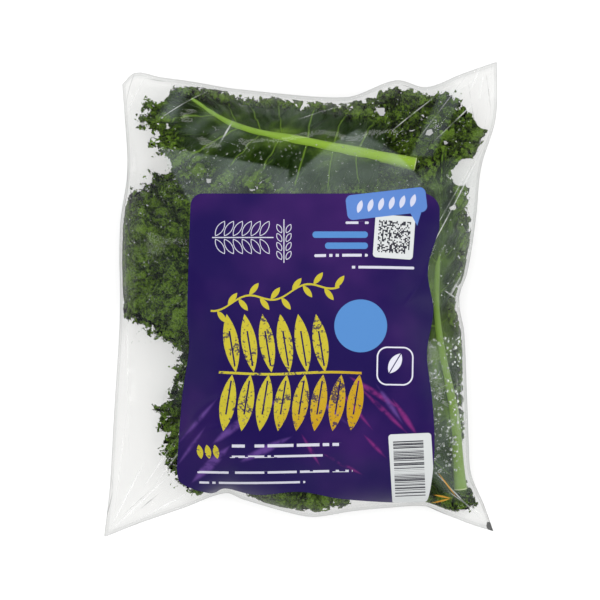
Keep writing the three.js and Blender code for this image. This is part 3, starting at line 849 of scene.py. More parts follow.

# Fogged parts of the front film, with patches of painted reflection given as fogging: how thick it is, how
# soft its border is, and its corners, clockwise.
FOG_AND_SHEEN = (
    (1.00, 0.6, ((-77, 83.5), (-6, 70), (-6, 40), (-52, 40))),
    (1.10, 0.6, ((-8, 70), (16, 84), (26, 93), (38, 93), (52, 79), (66, 70), (66, 40), (-8, 40))),
    (0.15, 7.0, ((-99, 72), (-60, 72), (-50, -30), (-70, -40), (-99, 0))),
    (0.55, 1.5, ((64, 70), (84, 78), (102, 70), (104, 0), (76, -4), (64, 10))),
    (0.80, 3.0, ((68, -24), (92, -20), (99, -112), (86, -112), (68, -92))),
    (0.60, 0.8, ((78, 116), (92, 118), (72, 78), (60, 78))),
    (0.30, 0.8, ((-86, 118), (-70, 118), (-96, 92), (-104, 96))),
    # Painted reflection: these three lighter patches over the top leaf stand for whitish reflections.
    (0.80, 3.5, ((-77, 101), (-69, 119), (-62, 117), (-69, 98))),
    (0.80, 3.5, ((-63, 92.5), (-50, 104), (-45, 103), (-57, 90.5))),
    (0.55, 2.0, ((-50, 92), (-36, 98), (-30, 90), (-44, 82))),
    (0.35, 3.0, ((-36, 112), (10, 104), (12, 92), (-30, 104))),
    (0.20, 5.0, ((-80, -24), (-60, -24), (-60, -60), (-80, -60))),
)

# Painted highlights: sharp streaks where a fold of the film catches the light, as pale matt paint: middle,
# length, width and lean from upright.
STREAKS = (
    (84, 52, 84, 0.61, -29),
    (81, 52, 70, 0.34, -31),
    (88, 101, 40, 0.61, -46),
    (79, 107, 46, 0.34, -37),
    (62, 102, 30, 0.61, -50),
    (101, 118, 34, 0.61, -12),
    (105, 112, 40, 0.41, -8),
    (98, 124, 22, 0.68, -24),
    (-40, 91, 16, 1, -28),
    (-64, 108, 34, 0.34, -58),
    (-93, 112, 26, 0.48, -28),
    (-64, -80, 56, 0.82, -36),
    (-76, -88, 38, 0.48, -34),
    (-96, -108, 44, 0.61, -28),
    (-88, -112, 50, 0.54, -46),
    (-78, -116, 44, 0.48, -60),
    (-100, -90, 48, 0.41, -8),
    (87, -64, 50, 0.54, 1),
    (90, -58, 34, 0.34, 3),
    (86, 8, 14, 1.5, -30),
    (83, 3, 9, 1, 60),
    (88, 0, 10, 0.68, 20),
    (87, -108, 36, 0.61, 44),
    (93, -114, 28, 0.48, 54),
    (-96, -20, 120, 0.31, 1),
    (14, 104, 34, 0.41, -70),
)

# Painted shade: thin grey lines where the film is folded sharply, given as the streaks are.
FOLDS = (
    (-95.5, 119, 19, 0.5, -15),
    (-97.8, 96, 15, 0.45, 4),
    (-96.9, 74.5, 32, 0.45, 1),
    (-97.8, 55, 12, 0.45, -13),
    (-105.8, -76, 42, 0.4, -1.5),
    (-106, -102, 12, 0.5, 9),
    (-107.6, -116, 21, 0.5, -16),
    (-84.3, -112.6, 14, 0.5, -50),
    (-95.5, -128.5, 13, 0.6, -57),
    (-90, -112, 23, 0.4, -47),
    (97.7, -104.7, 12, 0.7, 42),
    (103, -114, 14, 0.7, 20),
    (106.7, -123.5, 10, 0.7, 24),
    (103.9, -118.7, 16, 0.5, 24),
    (77.3, -118.4, 13, 0.5, 66),
    (105.3, 116, 28, 0.6, 6),
    (94.1, 115, 10, 0.5, 4),
    (95.5, 103.5, 15, 0.45, 9),
    (-78, 122.5, 22, 0.5, 80),
    (60, 119, 16, 0.5, 70),
)

# Withered rims of a leaf that lies against the film, given as the streaks are.
WITHERED = ((79, -109, 10, 1.1, 78), (78.4, -111.7, 11, 1.1, -73), (81.5, -102.3, 18, 0.8, 37))

# Painted shade: the bent corner of the film that looks dark.
DARK_TIP = (107.6, -128.2, 7, 4, 35)


def creased(x, y):
    """Height of the creases over the smooth front film."""
    height = np.zeros_like(x)
    for x0, y0, x1, y1, tall, wide, bow in CREASES:
        long = math.hypot(x1 - x0, y1 - y0)
        ux, uy = (x1 - x0) / long, (y1 - y0) / long
        along = ((x - x0) * ux + (y - y0) * uy) / long
        off = (x - x0) * -uy + (y - y0) * ux - bow * 4 * along * (1 - along)
        ends = smooth(-0.12, 0.2, along) * smooth(1.12, 0.8, along)
        height += 0.8 * tall * ends * np.exp(-np.abs(off / wide) ** 1.4)
    return height


def rippled(x, y):
    """Fine slack ripples that run in from the welds."""
    u, v = across(x, y)
    side = smooth(0.72, 0.98, np.abs(u))
    end = smooth(0.72, 0.98, np.abs(v))
    off_side = np.sin(y / 2.9 + 1.6 * np.sin(y / 13) + 3 * u) * np.sin(y / 7.7 + 1.1)
    off_end = np.sin(x / 2.6 + 1.8 * np.sin(x / 11) + 3 * v) * np.sin(x / 8.3 + 0.4)
    quiet = smooth(1.0, 0.97, np.abs(u)) * smooth(1.0, 0.97, np.abs(v))
    return 0.3 * quiet * (side * off_side + end * off_end) + 0.1 * quiet * bumps(501, x, y, 12, 30)


def film_front(x, y):
    return front_height(x, y) + rippled(x, y) + creased(x, y) * smooth(0, 0.06, fullness(x, y) + 0.02)


def inside(corners, x, y, soft):
    """From 0 outside a convex outline, given clockwise, to 1 inside it."""
    depth = np.full_like(x, 1e3)
    for (x0, y0), (x1, y1) in zip(corners, corners[1:] + corners[:1]):
        long = math.hypot(x1 - x0, y1 - y0)
        depth = np.minimum(depth, ((x - x0) * (y1 - y0) - (y - y0) * (x1 - x0)) / long)
    return smooth(-soft, soft, depth)


def fogged(x, y):
    """How thickly the front film is fogged, with the patches of painted reflection that are given as
    fogging.
    """
    fog_and_sheen = np.zeros_like(x)
    for thick, soft, corners in FOG_AND_SHEEN:
        fog_and_sheen = np.maximum(fog_and_sheen, thick * inside(corners, x, y, soft))
    return fog_and_sheen * (0.85 + 0.15 * bumps(502, x, y, 12, 40))


def film_sheets():
    """The front film and the back film, out to the welded edge."""
    sheets = []
    for front in (True, False):
        across_steps, up_steps = FRONT_FILM if front else BACK_FILM
        u, v = np.meshgrid(np.linspace(-1, 1, across_steps), np.linspace(-1, 1, up_steps))
        u, v = np.sign(u) * np.abs(u) ** 0.8, np.sign(v) * np.abs(v) ** 0.8
        x, y = place(u, v)
        z = film_front(x, y) + FRONT_LIFT if front else np.maximum(back_height(x, y), BACK_LEVEL)
        flange = np.maximum(np.abs(u) / WELD_U, np.abs(v) / WELD_V)
        apart = smooth(1.0 / WELD_U, 1.0, flange) * (FRONT_LIFT if front else -FRONT_LIFT)
        z = np.where(flange > 1, middle(x, y) + apart, z)
        line = 0.5 * np.exp(-(((flange - 1) / 0.0035) ** 2)) + smooth(-0.004, 0.0, flange - 1 / WELD_U)
        fog_and_sheen = fogged(x, y) if front else 0 * x
        points = np.stack([x, y, z], axis=-1)
        looks = {"fog_and_sheen": fog_and_sheen, "line": line, "front": 0 * x + front}
        if not front:
            points, looks = points[:, ::-1], {key: value[:, ::-1] for key, value in looks.items()}
        sheets.append((points, looks))
    return sheets


def slivers(x, y, rows):
    """From 0 outside thin pointed strips to 1 inside them."""
    return filled(to_petals(x, y, rows), 0.2)


def film_material(colours):
    """Clear glossy film that is fogged from inside in places and grey along its welds, with painted
    highlights and painted shade as white and grey lines along its creases, painted shade on a bent corner,
    and patches of painted reflection given as fogging.
    """
    material, tree = new_tree("clear_film")
    where = object_place(tree)
    fog_and_sheen, line, front = attribute(tree, "fog_and_sheen"), attribute(tree, "line"), attribute(tree, "front")
    x, y, _ = millimetres(tree)
    cloud = noise(where, 70.0, 4.0, 0.6)
    beads = noise(where, 1100.0, 2.0, 0.7)
    gloss = make_node(tree, "ShaderNodeBsdfAnisotropic", {"Color": WHITE, "Roughness": 0.06})
    clear = make_node(tree, "ShaderNodeBsdfTransparent", {"Color": colours.tint})
    smoke = make_node(tree, "ShaderNodeBsdfTransparent", {"Color": colours.edge})
    facing = make_node(tree, "ShaderNodeLayerWeight", {"Blend": 0.2}, "Facing")
    bare = either(facing.ramp(0.8, 1.0) * 0.12 + line * 0.35, clear, smoke)
    edge = make_node(tree, "ShaderNodeFresnel", {"IOR": 1.4}).least(0.2) * 0.38
    film = either(edge, bare, gloss)
    # Fogging, and in places painted reflection, as a pale matt mist.
    looks = either(fog_and_sheen * (cloud * 0.10 + beads * 0.10 + 0.02), film, matt(tree, colours.mist))
    ragged = cloud.ramp(0.3, 0.65) * front
    # Painted shade: the grey fold lines and the bent corner, as a near-black matt surface.
    tip = filled(to_petals(x, y, [DARK_TIP]), 0.3) * front * 0.85
    painted_shade = (slivers(x, y, FOLDS) * ragged * 0.4).most(tip)
    # Painted highlights: pale matt streaks along the folds.
    looks = either(slivers(x, y, STREAKS) * ragged * 0.5, looks, matt(tree, (0.85, 0.87, 0.85, 1)))
    looks = either(slivers(x, y, WITHERED) * front * 0.8, looks, matt(tree, (0.50, 0.26, 0.04, 1)))
    finish_tree(tree, either(painted_shade, looks, matt(tree, (0.02, 0.02, 0.02, 1))))
    return material


def build_film():
    obj = sheet_mesh("film", film_sheets(), film_material(bpy.context.scene.kale_film))
    stand_for(obj, "film_bag")


# ------------------------------------------------------------------ the label
def rounded(centre, radius, start, end, count=9):
    turn = np.radians(np.linspace(start, end, count))
    return [(centre[0] + radius * math.cos(a), centre[1] + radius * math.sin(a)) for a in turn]


def spline(points, count=10):
    """Points of a uniform Catmull-Rom spline through the given ones."""
    p = [np.array(q, float) for q in points]
    p = [2 * p[0] - p[1], *p, 2 * p[-1] - p[-2]]
    out = []
    for a, b, c, d in zip(p, p[1:], p[2:], p[3:]):
        for t in np.linspace(0, 1, count, endpoint=False):
            bend = (2 * a - 5 * b + 4 * c - d) * t**2 + (3 * b - a - 3 * c + d) * t**3
            out.append(0.5 * (2 * b + (c - a) * t + bend))
    return [tuple(q) for q in (*out, p[-2])]


def label_outline():
    """The label's outline, anticlockwise from its upper left corner."""
    left = [(-61.3, 52.6), (-62.5, 18), (-63, -10), (-62, -27), (-66, -55), (-69, -95)]
    foot = [(-69, -95), (-66, -103), (-50, -108.2), (-41.5, -105.4), (-24, -109)]
    foot += [(0, -107.2), (22, -111), (50, -113.2), (67, -113.4)]
    right = [(67, -113.4), (72, -110), (75.2, -84), (74, -56), (71, -30), (74.5, -6), (71.5, 17), (78, 40)]
    return [
        *rounded((-54.3, 52.6), 7, 90, 180),
        *spline(left)[1:],
        *spline(foot)[1:],
        *spline(right)[1:],
        *rounded((68.5, 50), 9.6, -6, 90),
    ]


# The tab: its middle, its width and height, its corners' radius and its tilt in degrees.
TAB_AT = (48.4, 54.0)
TAB_SIZE = (45.0, 14.0)
TAB_CORNER = 3.4
TAB_TILT = 6.5


def tab_outline():
    """The speech-bubble tab that stands out of the label's top edge."""
    wide, tall = (size / 2 - TAB_CORNER for size in TAB_SIZE)
    ring = []
    for sx, sy, start in ((1, 1, 0), (-1, 1, 90), (-1, -1, 180), (1, -1, 270)):
        ring += rounded((sx * wide, sy * tall), TAB_CORNER, start, start + 90, 7)
    turn = math.radians(TAB_TILT)
    c, s = math.cos(turn), math.sin(turn)
    return [(TAB_AT[0] + x * c - y * s, TAB_AT[1] + x * s + y * c) for x, y in ring]


def nearest_on(outline, x, y):
    """For each point: the nearest place on a closed outline, and whether the point is inside it."""
    ring = np.array(outline)
    step = np.linalg.norm(np.roll(ring, -1, axis=0) - ring, axis=1)
    along = np.concatenate([[0], np.cumsum(step)])
    even = np.arange(0, along[-1], PATH_STEP)
    fine = np.stack([np.interp(even, along, np.append(ring[:, k], ring[0, k])) for k in (0, 1)], axis=1)
    tree = KDTree(len(fine))
    for k, (px, py) in enumerate(fine):
        tree.insert((px, py, 0), k)
    tree.balance()
    found = [tree.find((px, py, 0))[1] for px, py in zip(x.ravel(), y.ravel())]
    near = fine[np.array(found)].reshape(*x.shape, 2)
    within = np.zeros(x.shape, bool)
    for (x0, y0), (x1, y1) in zip(ring, np.roll(ring, -1, axis=0)):
        if y0 != y1:
            within ^= ((y0 > y) != (y1 > y)) & (x < (x1 - x0) * (y - y0) / (y1 - y0) + x0)
    return near[..., 0], near[..., 1], within


def build_label():
    """The label: a fine grid whose rim is drawn onto the outline, laid on the film."""
    x, y = np.meshgrid(np.arange(-71, 80.1, LABEL_STEP), np.arange(-116, 66.1, LABEL_STEP))
    body = nearest_on(label_outline(), x, y)
    tab = nearest_on(tab_outline(), x, y)
    within = body[2] | tab[2]
    padded = np.pad(within, 1)
    beside = np.zeros_like(within)
    for dj in (0, 1, 2):
        for di in (0, 1, 2):
            beside |= padded[dj : dj + within.shape[0], di : di + within.shape[1]]
    rim = beside & ~within
    use_tab = np.hypot(tab[0] - x, tab[1] - y) < np.hypot(body[0] - x, body[1] - y)
    x = np.where(rim, np.where(use_tab, tab[0], body[0]), x)
    y = np.where(rim, np.where(use_tab, tab[1], body[1]), y)
    near = drawn_in(film_front(x, y) + LABEL_LIFT)
    x, y = x * near, y * near
    points = np.stack([x, y, film_front(x, y) + LABEL_LIFT], axis=-1)
    obj = sheet_mesh("label", [(points, {})], label_material())
    cut_away(obj, ~(within | rim))
    stand_for(obj, "front_label")


# ------------------------------------------------------------------ the label's print
# Brushed strokes on the ground, and wider, fainter bands of painted highlight along the film's creases:
# middle, length, width and lean from upright.
STROKES = (
    (42, -52, 34, 3.2, 58),
    (59, -66, 24, 3.0, 34),
    (47, -62, 36, 2.6, 46),
    (30, -60, 30, 2.2, 40),
    (42, -82, 16, 2.0, 44),
    (24, -92, 22, 2.4, 62),
    (6, -84, 18, 2.0, 30),
)
PAINTED_SHEEN_BANDS = (
    (-57, -67.5, 32, 3.0, -41),
    (-61, -82, 26, 2.6, -36),
    (-50, -92, 30, 6, -46),
    (-38, -72, 30, 5, -52),
    (-20, -84, 34, 5, -64),
    (50, -58, 26, 3.4, 34),
    (-14, -58, 22, 3.0, 66),
    (18, -62, 26, 3.0, 50),
)

# Plain thin rules that stand in for small print: middle, length and thickness.
RULES = (
    (-8, -81.3, 63, 1.7),
    (-12, -87.3, 55, 1.3),
    (-14, -96.2, 87, 1.3),
    (-27, -102.0, 60, 1.2),
    (45.5, 17.9, 37, 1.5),
    (32, 42.8, 13, 1.4),
    (23, 24.6, 30, 1.6),
)
BLOCK_CELLS = 1.33  # cells of the block panel in a millimetre
BAR_CELLS = 1.15


def nearest_place(x, start, step, count):
    """The nearest of several evenly spaced places along x."""
    place = ((x - start) * (1 / step) + 0.5).math("FLOOR")
    return place.most(0.0).least(count - 1.0) * step + start


def petal_row(x, y, start, step, count, level, long, wide, lean):
    """A row of alike pointed ovals across x, and where each one's own middle line lies."""
    shear = math.tan(math.radians(lean))
    place = nearest_place(x + (y - level) * shear, start, step, count)
    return to_petal(x - place, y, (0, level), long, wide, lean), turned(x - place, y, (0, level), lean)


def leafy_rows(x, y):
    """The bold ornament: two rows of upright leaves with slit midribs, above and below a stem."""
    rows = []
    for start, step, count, level, tall, wide, lean in (
        (-38.5, 10.0, 6, -24.2, 33, 8.4, 9),
        (-40.5, 10.2, 8, -57.6, 32, 8.8, -9),
    ):
        petals, (px, py) = petal_row(x, y, start, step, count, level, tall, wide, lean)
        slit = (abs(px) - 0.45).most(abs(py + math.copysign(3, lean)) - tall * 0.3)
        rows.append(petals.most(slit * -1.0))
    stem = (abs(y + 41.0 - (x * 0.09).math("SINE") * 0.6) - 0.7).most(abs(x + 5.5) - 40)
    return together([*rows, stem])


def running_sprig(x, y):
    """A thin sprig: a waving stem with small leaves on both sides."""

    def wave(at):
        return (at * 0.19 + 1.0).math("SINE") * 2.6 + at * 0.19 + 5.5

    shapes = [(abs(y - wave(x)) - 0.55).most(abs(x + 14) - 36)]
    for start, side, lean in ((-43.8, -1, 218), (-37.8, 1, -38)):
        place = nearest_place(x, start, 12.0, 6)
        shapes.append(to_petal(x - place, y - wave(place - 2.2), (0, side * 3.6), 8.4, 3.1, lean))
    return together(shapes)


def fine_leaves(x, y):
    """The thin white ornament: a fine sprig of outlined leaves, and an upright ear beside it."""
    upper = petal_row(x, y, -44.8, 5.0, 6, 40, 9.5, 3.6, -32)[0]
    lower = petal_row(x, y, -44.8, 5.0, 6, 30, 9.5, 3.6, 32)[0]
    stem = (abs(y - 35) - 0.1).most(abs(x + 32) - 17)
    level = nearest_place(y, 25.0, 5.0, 4)
    ear = to_petal(abs(x + 9), y - level, (2.6, 0), 5.2, 2.4, -28)
    stalk = (abs(x + 9) - 0.1).most(abs(y - 33) - 12)
    return outlined(upper.least(lower).least(ear), 0.4).most(outlined(stem.least(stalk), 0.35))


def rules(x, y):
    """The thin rules, bent a little and broken at random."""
    bent = y - (x * 0.05).math("SINE") * 0.5
    shapes = [to_box(x - at, bent - level, long, thick, thick * 0.49) for at, level, long, thick in RULES]
    return filled(together(shapes)) * random_cells(x * 0.55, y * 0.25).math("GREATER_THAN", 0.17)


def bold_rules(x, y):
    """Two thick rules beside the block panel."""
    return filled(to_box(x - 22.5, y - 36.6, 31, 3.6, 1.7).least(to_box(x - 26, y - 30.4, 24, 3.6, 1.7)))


def block_pattern(x, y):
    """Square cells that are light or dark at random, from 0 to 1."""
    return random_cells(x * BLOCK_CELLS, y * BLOCK_CELLS).math("GREATER_THAN", 0.5)


def random_cells(x, y):
    """A random value for each cell that is one wide and one tall."""
    where = x.node("ShaderNodeCombineXYZ", {"X": x.math("FLOOR"), "Y": y.math("FLOOR")})
    return where.node("ShaderNodeTexWhiteNoise", {"Vector": where}, "Value", noise_dimensions="2D")


def bars(y):
    """Irregular bars across y, from 0 to 1."""
    cell = (y * BAR_CELLS).math("FLOOR")
    wide = cell.node("ShaderNodeTexWhiteNoise", {"W": cell}, "Value", noise_dimensions="1D")
    within = (y * BAR_CELLS).math("FRACT")
    return (within * -1.0 + wide * 0.9 + 0.05).ramp(-0.04, 0.04)


def label_material():
    """Printed film: a deep ground with soft clouds, bold ornaments, a disc, a tab and white panels, and
    bands of painted highlight along its creases.
    """
    colours = bpy.context.scene.kale_label
    material, tree = new_tree("label_print")
    where = object_place(tree)
    x, y, z = millimetres(tree)
    x, y = ((value * (DRAWN_FROM - WELD_HEIGHT)).math("DIVIDE", z * -1.0 + DRAWN_FROM) for value in (x, y))
    # The ground, with soft clouds, brushed strokes and bands of painted highlight.
    cloud = noise(where, 16.0, 3.0, 0.55)
    lighter = (cloud + (y * 0.004).ramp(-0.1, 0.24) * 0.2).ramp(0.45, 0.85)
    colour = blend(lighter, colours.ground, colours.cloud)
    brushed = noise(where, 130.0, 3.0, 0.6)
    strokes = to_petals(x, y, STROKES).ramp(0.7, -1.2) * brushed.ramp(0.3, 0.6) * 0.85
    colour = blend(strokes, colour, colours.stroke)
    # Painted highlights: lighter bands where the film is creased.
    sheen_bands = to_petals(x, y, PAINTED_SHEEN_BANDS).ramp(0.6, -1.8) * brushed.ramp(0.25, 0.6) * 0.9
    colour = blend(sheen_bands, colour, colours.fold)
    # Ornaments.
    worn = noise(where, 520.0, 3.0, 0.7).ramp(0.36, 0.42)
    scratched = noise(where, 95.0, 3.0, 0.6).ramp(0.62, 0.58)
    specks = noise(where, 900.0, 2.0).ramp(0.5, 0.55)
    bold = filled(leafy_rows(x, y)) * (worn.least(scratched.most(specks)) * 0.85 + 0.15)
    gold = (x * 0.012 - y * 0.010 + cloud).ramp(0.75, 1.45)
    yellow = blend(gold, colours.yellow, colours.gold)
    colour = blend(bold, colour, yellow)
    colour = blend(filled(running_sprig(x, y)), colour, colours.yellow)
    mark = petal_row(x, y, -56.0, 4.5, 3, -85, 8, 3.4, 12)[0]
    colour = blend(filled(mark) * worn, colour, colours.yellow)
    colour = blend(fine_leaves(x, y).most(rules(x, y)) * 0.85, colour, colours.pale)
    colour = blend(bold_rules(x, y), colour, colours.disc)
    # The disc, the leaf sign, the block panel and the bar panel.
    colour = blend(filled(to_disc(x - 34, y + 14.5, 14.8)), colour, colours.disc)
    sx, sy = turned(x, y, (53.2, -37), -1.0)
    sign = outlined(to_box(sx, sy, 19.8, 20.9, 5.5), 0.8)
    leaf_sign = to_petal(sx, sy, (0, 1.5), 13, 6.5, -30)
    slit = (abs(turned(sx, sy, (0, 1.5), -30)[0]) - 0.3).most(abs(sy) - 9)
    sign = sign.most(filled(leaf_sign.most(slit * -1.0)))
    colour = blend(sign, colour, colours.pale)
    bx, by = turned(x, y, (52.7, 35.3), -4.0)
    panel = filled(to_box(bx, by, 22.4, 24.1, 2.0))
    dots = filled(to_box(bx, by, 18.0, 18.0, 0.1)) * block_pattern(bx, by)
    colour = blend(panel, colour, blend(dots, colours.panel, INK))
    px, py = turned(x, y, (62.6, -94.3), 2.4)
    panel = filled(to_box(px + py * 0.02, py, 24.0, 39.0, 1.8))
    stripes = filled(to_box(px + 1.4, py, 17.0, 31.0, 0.1)) * bars(py)
    colour = blend(panel, colour, blend(stripes, colours.panel, INK))
    # The tab, with its tail.
    tx, ty = turned(x, y, TAB_AT, TAB_TILT)
    tail = (abs(x - 65.6 - (y - 42) * -0.12) - (y - 41.6) * 0.42).most(y - 52)
    colour = blend(filled(to_box(tx, ty, *TAB_SIZE, TAB_CORNER).least(tail)), colour, colours.tab)
    row = petal_row(tx, ty, -15.0, 6.0, 6, 0.0, 7.5, 3.0, -24)[0]
    colour = blend(filled(row) * 0.8, colour, colours.pale)
    relief = noise(where, 45.0, 2.0, 0.5)
    normal = relief.node("ShaderNodeBump", {"Strength": 0.12, "Distance": 0.001, "Height": relief})
    finish_tree(tree, coated(colour, cloud * 0.1 + 0.3, normal, 0.12))
    return material


# ------------------------------------------------------------------ the droplets
# Where droplets have gathered: lowest x and y, highest x and y, how many, and their least and most radius.
WET = (
    (-76, 54, 6, 84, 220, 0.25, 0.6),
    (6, 60, 66, 92, 90, 0.25, 0.55),
    (-96, -24, -60, 62, 110, 0.2, 0.5),
    (70, -96, 90, -20, 220, 0.35, 1.0),
    (76, 0, 96, 70, 60, 0.25, 0.6),
    (30, 80, 96, 112, 60, 0.2, 0.55),
)


def droplet_material():
    """Clear water, with a pale matt rim of painted light where it is seen edge-on."""
    material, tree = new_tree("droplet_water")
    clear = make_node(tree, "ShaderNodeBsdfTransparent", {"Color": (0.96, 0.98, 0.96, 1)})
    gloss = make_node(tree, "ShaderNodeBsdfAnisotropic", {"Color": WHITE, "Roughness": 0.05})
    facing = make_node(tree, "ShaderNodeLayerWeight", {"Blend": 0.5}, "Facing")
    # Painted light: a pale matt rim where the droplet is seen edge-on.
    bead = either(facing.ramp(0.25, 0.9) * 0.85, clear, matt(tree, (0.75, 0.85, 0.75, 1)))
    shine = make_node(tree, "ShaderNodeFresnel", {"IOR": 1.45}) * 1.8
    finish_tree(tree, either(shine, bead, gloss))
    return material


def build_droplets():
    """Low beads of water on the fogged parts of the film."""
    draw = np.random.default_rng(909)
    spots = []
    for x0, y0, x1, y1, count, least, most in WET:
        x, y = draw.uniform(x0, x1, count), draw.uniform(y0, y1, count)
        radius = least + (most - least) * draw.uniform(0, 1, count) ** 2.5
        u, v = across(x, y)
        kept = (np.abs(u) < 0.96) & (np.abs(v) < 0.96)
        spots.append(np.stack([x, y, radius], axis=1)[kept])
    x, y, radius = np.concatenate(spots).T
    bead = bmesh.new()
    bmesh.ops.create_icosphere(bead, subdivisions=2, radius=1.0)
    ball = bpy.data.meshes.new("droplets")
    bead.to_mesh(ball)
    bm = bmesh.new()
    for _ in x:
        bm.from_mesh(ball)
    bm.to_mesh(ball)
    count = len(bead.verts)
    bead.free()
    bm.free()
    coordinates = np.empty(len(ball.vertices) * 3)
    ball.vertices.foreach_get("co", coordinates)
    unit = coordinates.reshape(len(x), count, 3)
    off = unit[..., :2] * radius[:, None, None]
    px, py = x[:, None] + off[..., 0], y[:, None] + off[..., 1]
    pz = film_front(px, py) + BEAD_LIFT + 0.42 * radius[:, None] * unit[..., 2]
    ball.vertices.foreach_set("co", (np.stack([px, py, pz], axis=-1) * MM).ravel())
    obj = finish_mesh(ball, droplet_material())
    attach(obj, "root")


# ------------------------------------------------------------------ the stage
# Soft boxes: place, width, height, power, and whether they show in reflections.
LIGHTS = (
    ("light_above", (0.0, 0.0, 1.7), 1.9, 1.9, 35.0, False),
    ("light_left", (-1.30, 0.15, 0.95), 0.16, 1.7, 2.6, True),
    ("light_right", (1.35, -0.10, 0.85), 0.14, 1.6, 3.5, True),
    ("light_top", (-0.25, 1.40, 0.95), 1.4, 0.16, 5.0, True),
    ("light_bottom", (0.2, -1.40, 0.90), 1.3, 0.12, 1.8, True),
)


AIM = Vector((0, 0, 0.02))  # where the soft boxes point
SENSOR = 36  # the camera's width in millimetres


def build_floor(settings):
    """A wide floor that glows softly from below."""
    bm = bmesh.new()
    bmesh.ops.create_grid(bm, x_segments=1, y_segments=1, size=3)
    mesh = bpy.data.meshes.new("floor")
    bm.to_mesh(mesh)
    bm.free()
    material, tree = new_tree("floor")
    inputs = {"Base Color": settings.floor, "Roughness": 0.9, "Specular IOR Level": 0.0}
    inputs |= {"Emission Color": WHITE, "Emission Strength": settings.glow}
    finish_tree(tree, make_node(tree, "ShaderNodeBsdfPrincipled", inputs))
    floor = finish_mesh(mesh, material)
    floor.location = (0, 0, -0.0002)


def build_sky(settings):
    """Even light from all around that darkens towards the zenith."""
    world = bpy.data.worlds.new("studio")
    bpy.context.scene.world = world
    world.use_nodes = True
    tree = world.node_tree
    tree.nodes.clear()
    where = make_node(tree, "ShaderNodeTexCoord", {}, "Generated")
    height = where.node("ShaderNodeSeparateXYZ", {"Vector": where}, "Z")
    glow = blend(height.ramp(0.45, 0.9), WHITE, (0.05, 0.05, 0.05, 1))
    sky = make_node(tree, "ShaderNodeBackground", {"Color": glow, "Strength": settings.sky})
    make_node(tree, "ShaderNodeOutputWorld", {"Surface": sky})


def build_stage():
    """The floor, the sky, the lights and the camera."""
    scene = bpy.context.scene
    settings = scene.kale_stage
    build_floor(settings)
    build_sky(settings)
    for name, stand, wide, tall, power, mirrored in LIGHTS:
        light = bpy.data.lights.new(name, "AREA")
        light.shape = "RECTANGLE"
        light.size, light.size_y = wide, tall
        light.energy = power * settings.power
        obj = add_object(name, light)
        obj.visible_glossy = mirrored
        obj.location = stand
        obj.rotation_euler = (AIM - Vector(stand)).to_track_quat("-Z", "Y").to_euler()
    camera = bpy.data.cameras.new("camera")
    camera.lens = settings.lens
    camera.sensor_width = SENSOR
    scene.camera = add_object("camera", camera)
    scene.camera.location = (0, 0, WELD_HEIGHT * MM + settings.view * settings.lens / SENSOR)
    scene.view_settings.view_transform = "Standard"


# ------------------------------------------------------------------ settings
def colour(name, description, default):
    """A colour that the sidebar shows."""
    return FloatVectorProperty(
        name=name, description=description, default=default, subtype="COLOR", size=4, min=0, max=1
    )


def number(name, description, default, least=0, unit="NONE"):
    """A number that the sidebar shows."""
    return FloatProperty(name=name, description=description, default=default, min=least, unit=unit)


class KaleLeafSettings(PropertyGroup):
    """The leaves' colours and the size of their frills."""

    # The hollows' colour is painted shade, and the frills' colour carries painted light on their tips.
    hollow_shade: colour("Hollows", "Colour deep between the frills", (0.011, 0.028, 0.004, 1))
    frill: colour("Frills", "Colour of the frills' tips", (0.155, 0.275, 0.022, 1))
    vein: colour("Veins", "Colour of the side veins and of the midrib's tip", (0.17, 0.30, 0.03, 1))
    midrib: colour("Midribs", "Colour of the thick end of the midribs", (0.25, 0.41, 0.03, 1))
    dull: colour("Sunken midribs", "Colour of a midrib that is partly sunk", (0.12, 0.21, 0.035, 1))
    cut: colour("Cut ends", "Colour of the cut stalks", (0.50, 0.58, 0.30, 1))
    frill_height: number("Frill height", "Height of the largest frills", 0.0036, unit="LENGTH")


class KaleFilmSettings(PropertyGroup):
    """The film's colours."""

    tint: colour("Film", "Light that one film lets through", (0.93, 0.93, 0.925, 1))
    edge: colour("Film edges", "Light that it lets through where it is seen edge-on", (0.45, 0.46, 0.46, 1))
    # This colour also paints the patches of painted reflection over the top leaf.
    mist: colour("Fog", "Colour of the fog inside the film", (0.50, 0.60, 0.56, 1))


class KaleLabelSettings(PropertyGroup):
    """The colours of the label's print."""

    ground: colour("Ground", "Main colour of the label", (0.0098, 0.0038, 0.062, 1))
    cloud: colour("Clouds", "Soft lighter parts of the ground", (0.038, 0.010, 0.098, 1))
    # Painted highlight: the colour of the lighter bands along the film's creases.
    fold: colour("Folds", "Lighter bands where the film is creased", (0.10, 0.045, 0.22, 1))
    stroke: colour("Strokes", "Brushed strokes on the ground", (0.19, 0.020, 0.15, 1))
    yellow: colour("Yellow", "Ornaments", (0.43, 0.37, 0.028, 1))
    gold: colour("Gold", "Ornaments at the lower right", (0.42, 0.25, 0.010, 1))
    pale: colour("Pale", "Fine lines", (0.60, 0.60, 0.68, 1))
    panel: colour("Panels", "The block panel and the bar panel", (0.55, 0.57, 0.57, 1))
    disc: colour("Disc", "The disc on the right", (0.070, 0.20, 0.46, 1))
    tab: colour("Tab", "The tab on the top edge", (0.085, 0.185, 0.47, 1))


class KaleStageSettings(PropertyGroup):
    """The floor, the light and the camera."""

    floor: colour("Floor", "Colour of the floor", (0.50, 0.50, 0.50, 1))
    glow: number("Floor's glow", "How brightly the floor is lit from below", 0.5)
    sky: number("Sky", "Strength of the light from all around", 0.6)
    power: number("Lights", "Strength of the soft boxes", 1.0)
    lens: number("Lens", "Focal length in millimetres", 100, least=10)
    view: number("View width", "Width that the camera takes in", 0.336, least=0.01, unit="LENGTH")


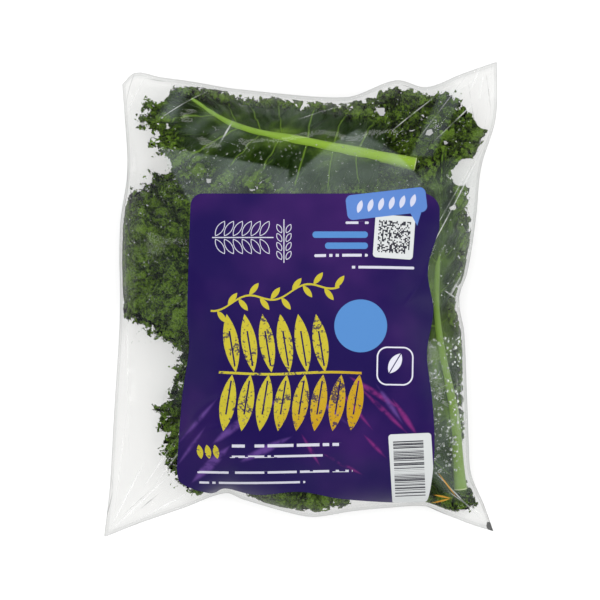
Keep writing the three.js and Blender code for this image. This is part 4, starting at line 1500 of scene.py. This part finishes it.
# ------------------------------------------------------------------ operators
class KALE_OT_leaves(Operator):
    """Build the eight leaves with their frills and midribs"""

    bl_idname = "kale.leaves"
    bl_label = "Leaves"

    def execute(self, context):
        build_leaves()
        return {"FINISHED"}


class KALE_OT_film(Operator):
    """Build the welded film bag with its creases and fog"""

    bl_idname = "kale.film"
    bl_label = "Film bag"

    def execute(self, context):
        build_film()
        return {"FINISHED"}


class KALE_OT_label(Operator):
    """Build the printed label that lies on the film"""

    bl_idname = "kale.label"
    bl_label = "Label"

    def execute(self, context):
        build_label()
        return {"FINISHED"}


class KALE_OT_droplets(Operator):
    """Build the water droplets on the film"""

    bl_idname = "kale.droplets"
    bl_label = "Droplets"

    def execute(self, context):
        build_droplets()
        return {"FINISHED"}


class KALE_OT_stage(Operator):
    """Build the floor, the lights and the camera"""

    bl_idname = "kale.stage"
    bl_label = "Stage"

    def execute(self, context):
        build_stage()
        return {"FINISHED"}


class KALE_PT_panel(Panel):
    """Lists the pieces and their settings"""

    bl_idname = "KALE_PT_panel"
    bl_label = "Bag of kale"
    bl_space_type = "VIEW_3D"
    bl_region_type = "UI"
    bl_category = "Kale"

    def draw(self, context):
        layout = self.layout
        groups = (
            (context.scene.kale_leaves, ("kale.leaves",)),
            (context.scene.kale_film, ("kale.film", "kale.droplets")),
            (context.scene.kale_label, ("kale.label",)),
            (context.scene.kale_stage, ("kale.stage",)),
        )
        for settings, operators in groups:
            box = layout.box()
            for key in settings.__annotations__:
                box.prop(settings, key)
            for name in operators:
                box.operator(name)


SETTINGS = (
    ("kale_leaves", KaleLeafSettings),
    ("kale_film", KaleFilmSettings),
    ("kale_label", KaleLabelSettings),
    ("kale_stage", KaleStageSettings),
)
CLASSES = (
    *(group for _, group in SETTINGS),
    KALE_OT_leaves,
    KALE_OT_film,
    KALE_OT_label,
    KALE_OT_droplets,
    KALE_OT_stage,
    KALE_PT_panel,
)


def register():
    for one in CLASSES:
        bpy.utils.register_class(one)
    for name, group in SETTINGS:
        setattr(bpy.types.Scene, name, PointerProperty(type=group))


def unregister():
    for name, _ in SETTINGS:
        delattr(bpy.types.Scene, name)
    for one in reversed(CLASSES):
        bpy.utils.unregister_class(one)


def main():
    """Builds the whole bag."""
    register()
    bpy.ops.kale.leaves()
    bpy.ops.kale.film()
    bpy.ops.kale.label()
    bpy.ops.kale.droplets()
    bpy.ops.kale.stage()
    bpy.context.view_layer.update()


if __name__ == "__main__":
    main()
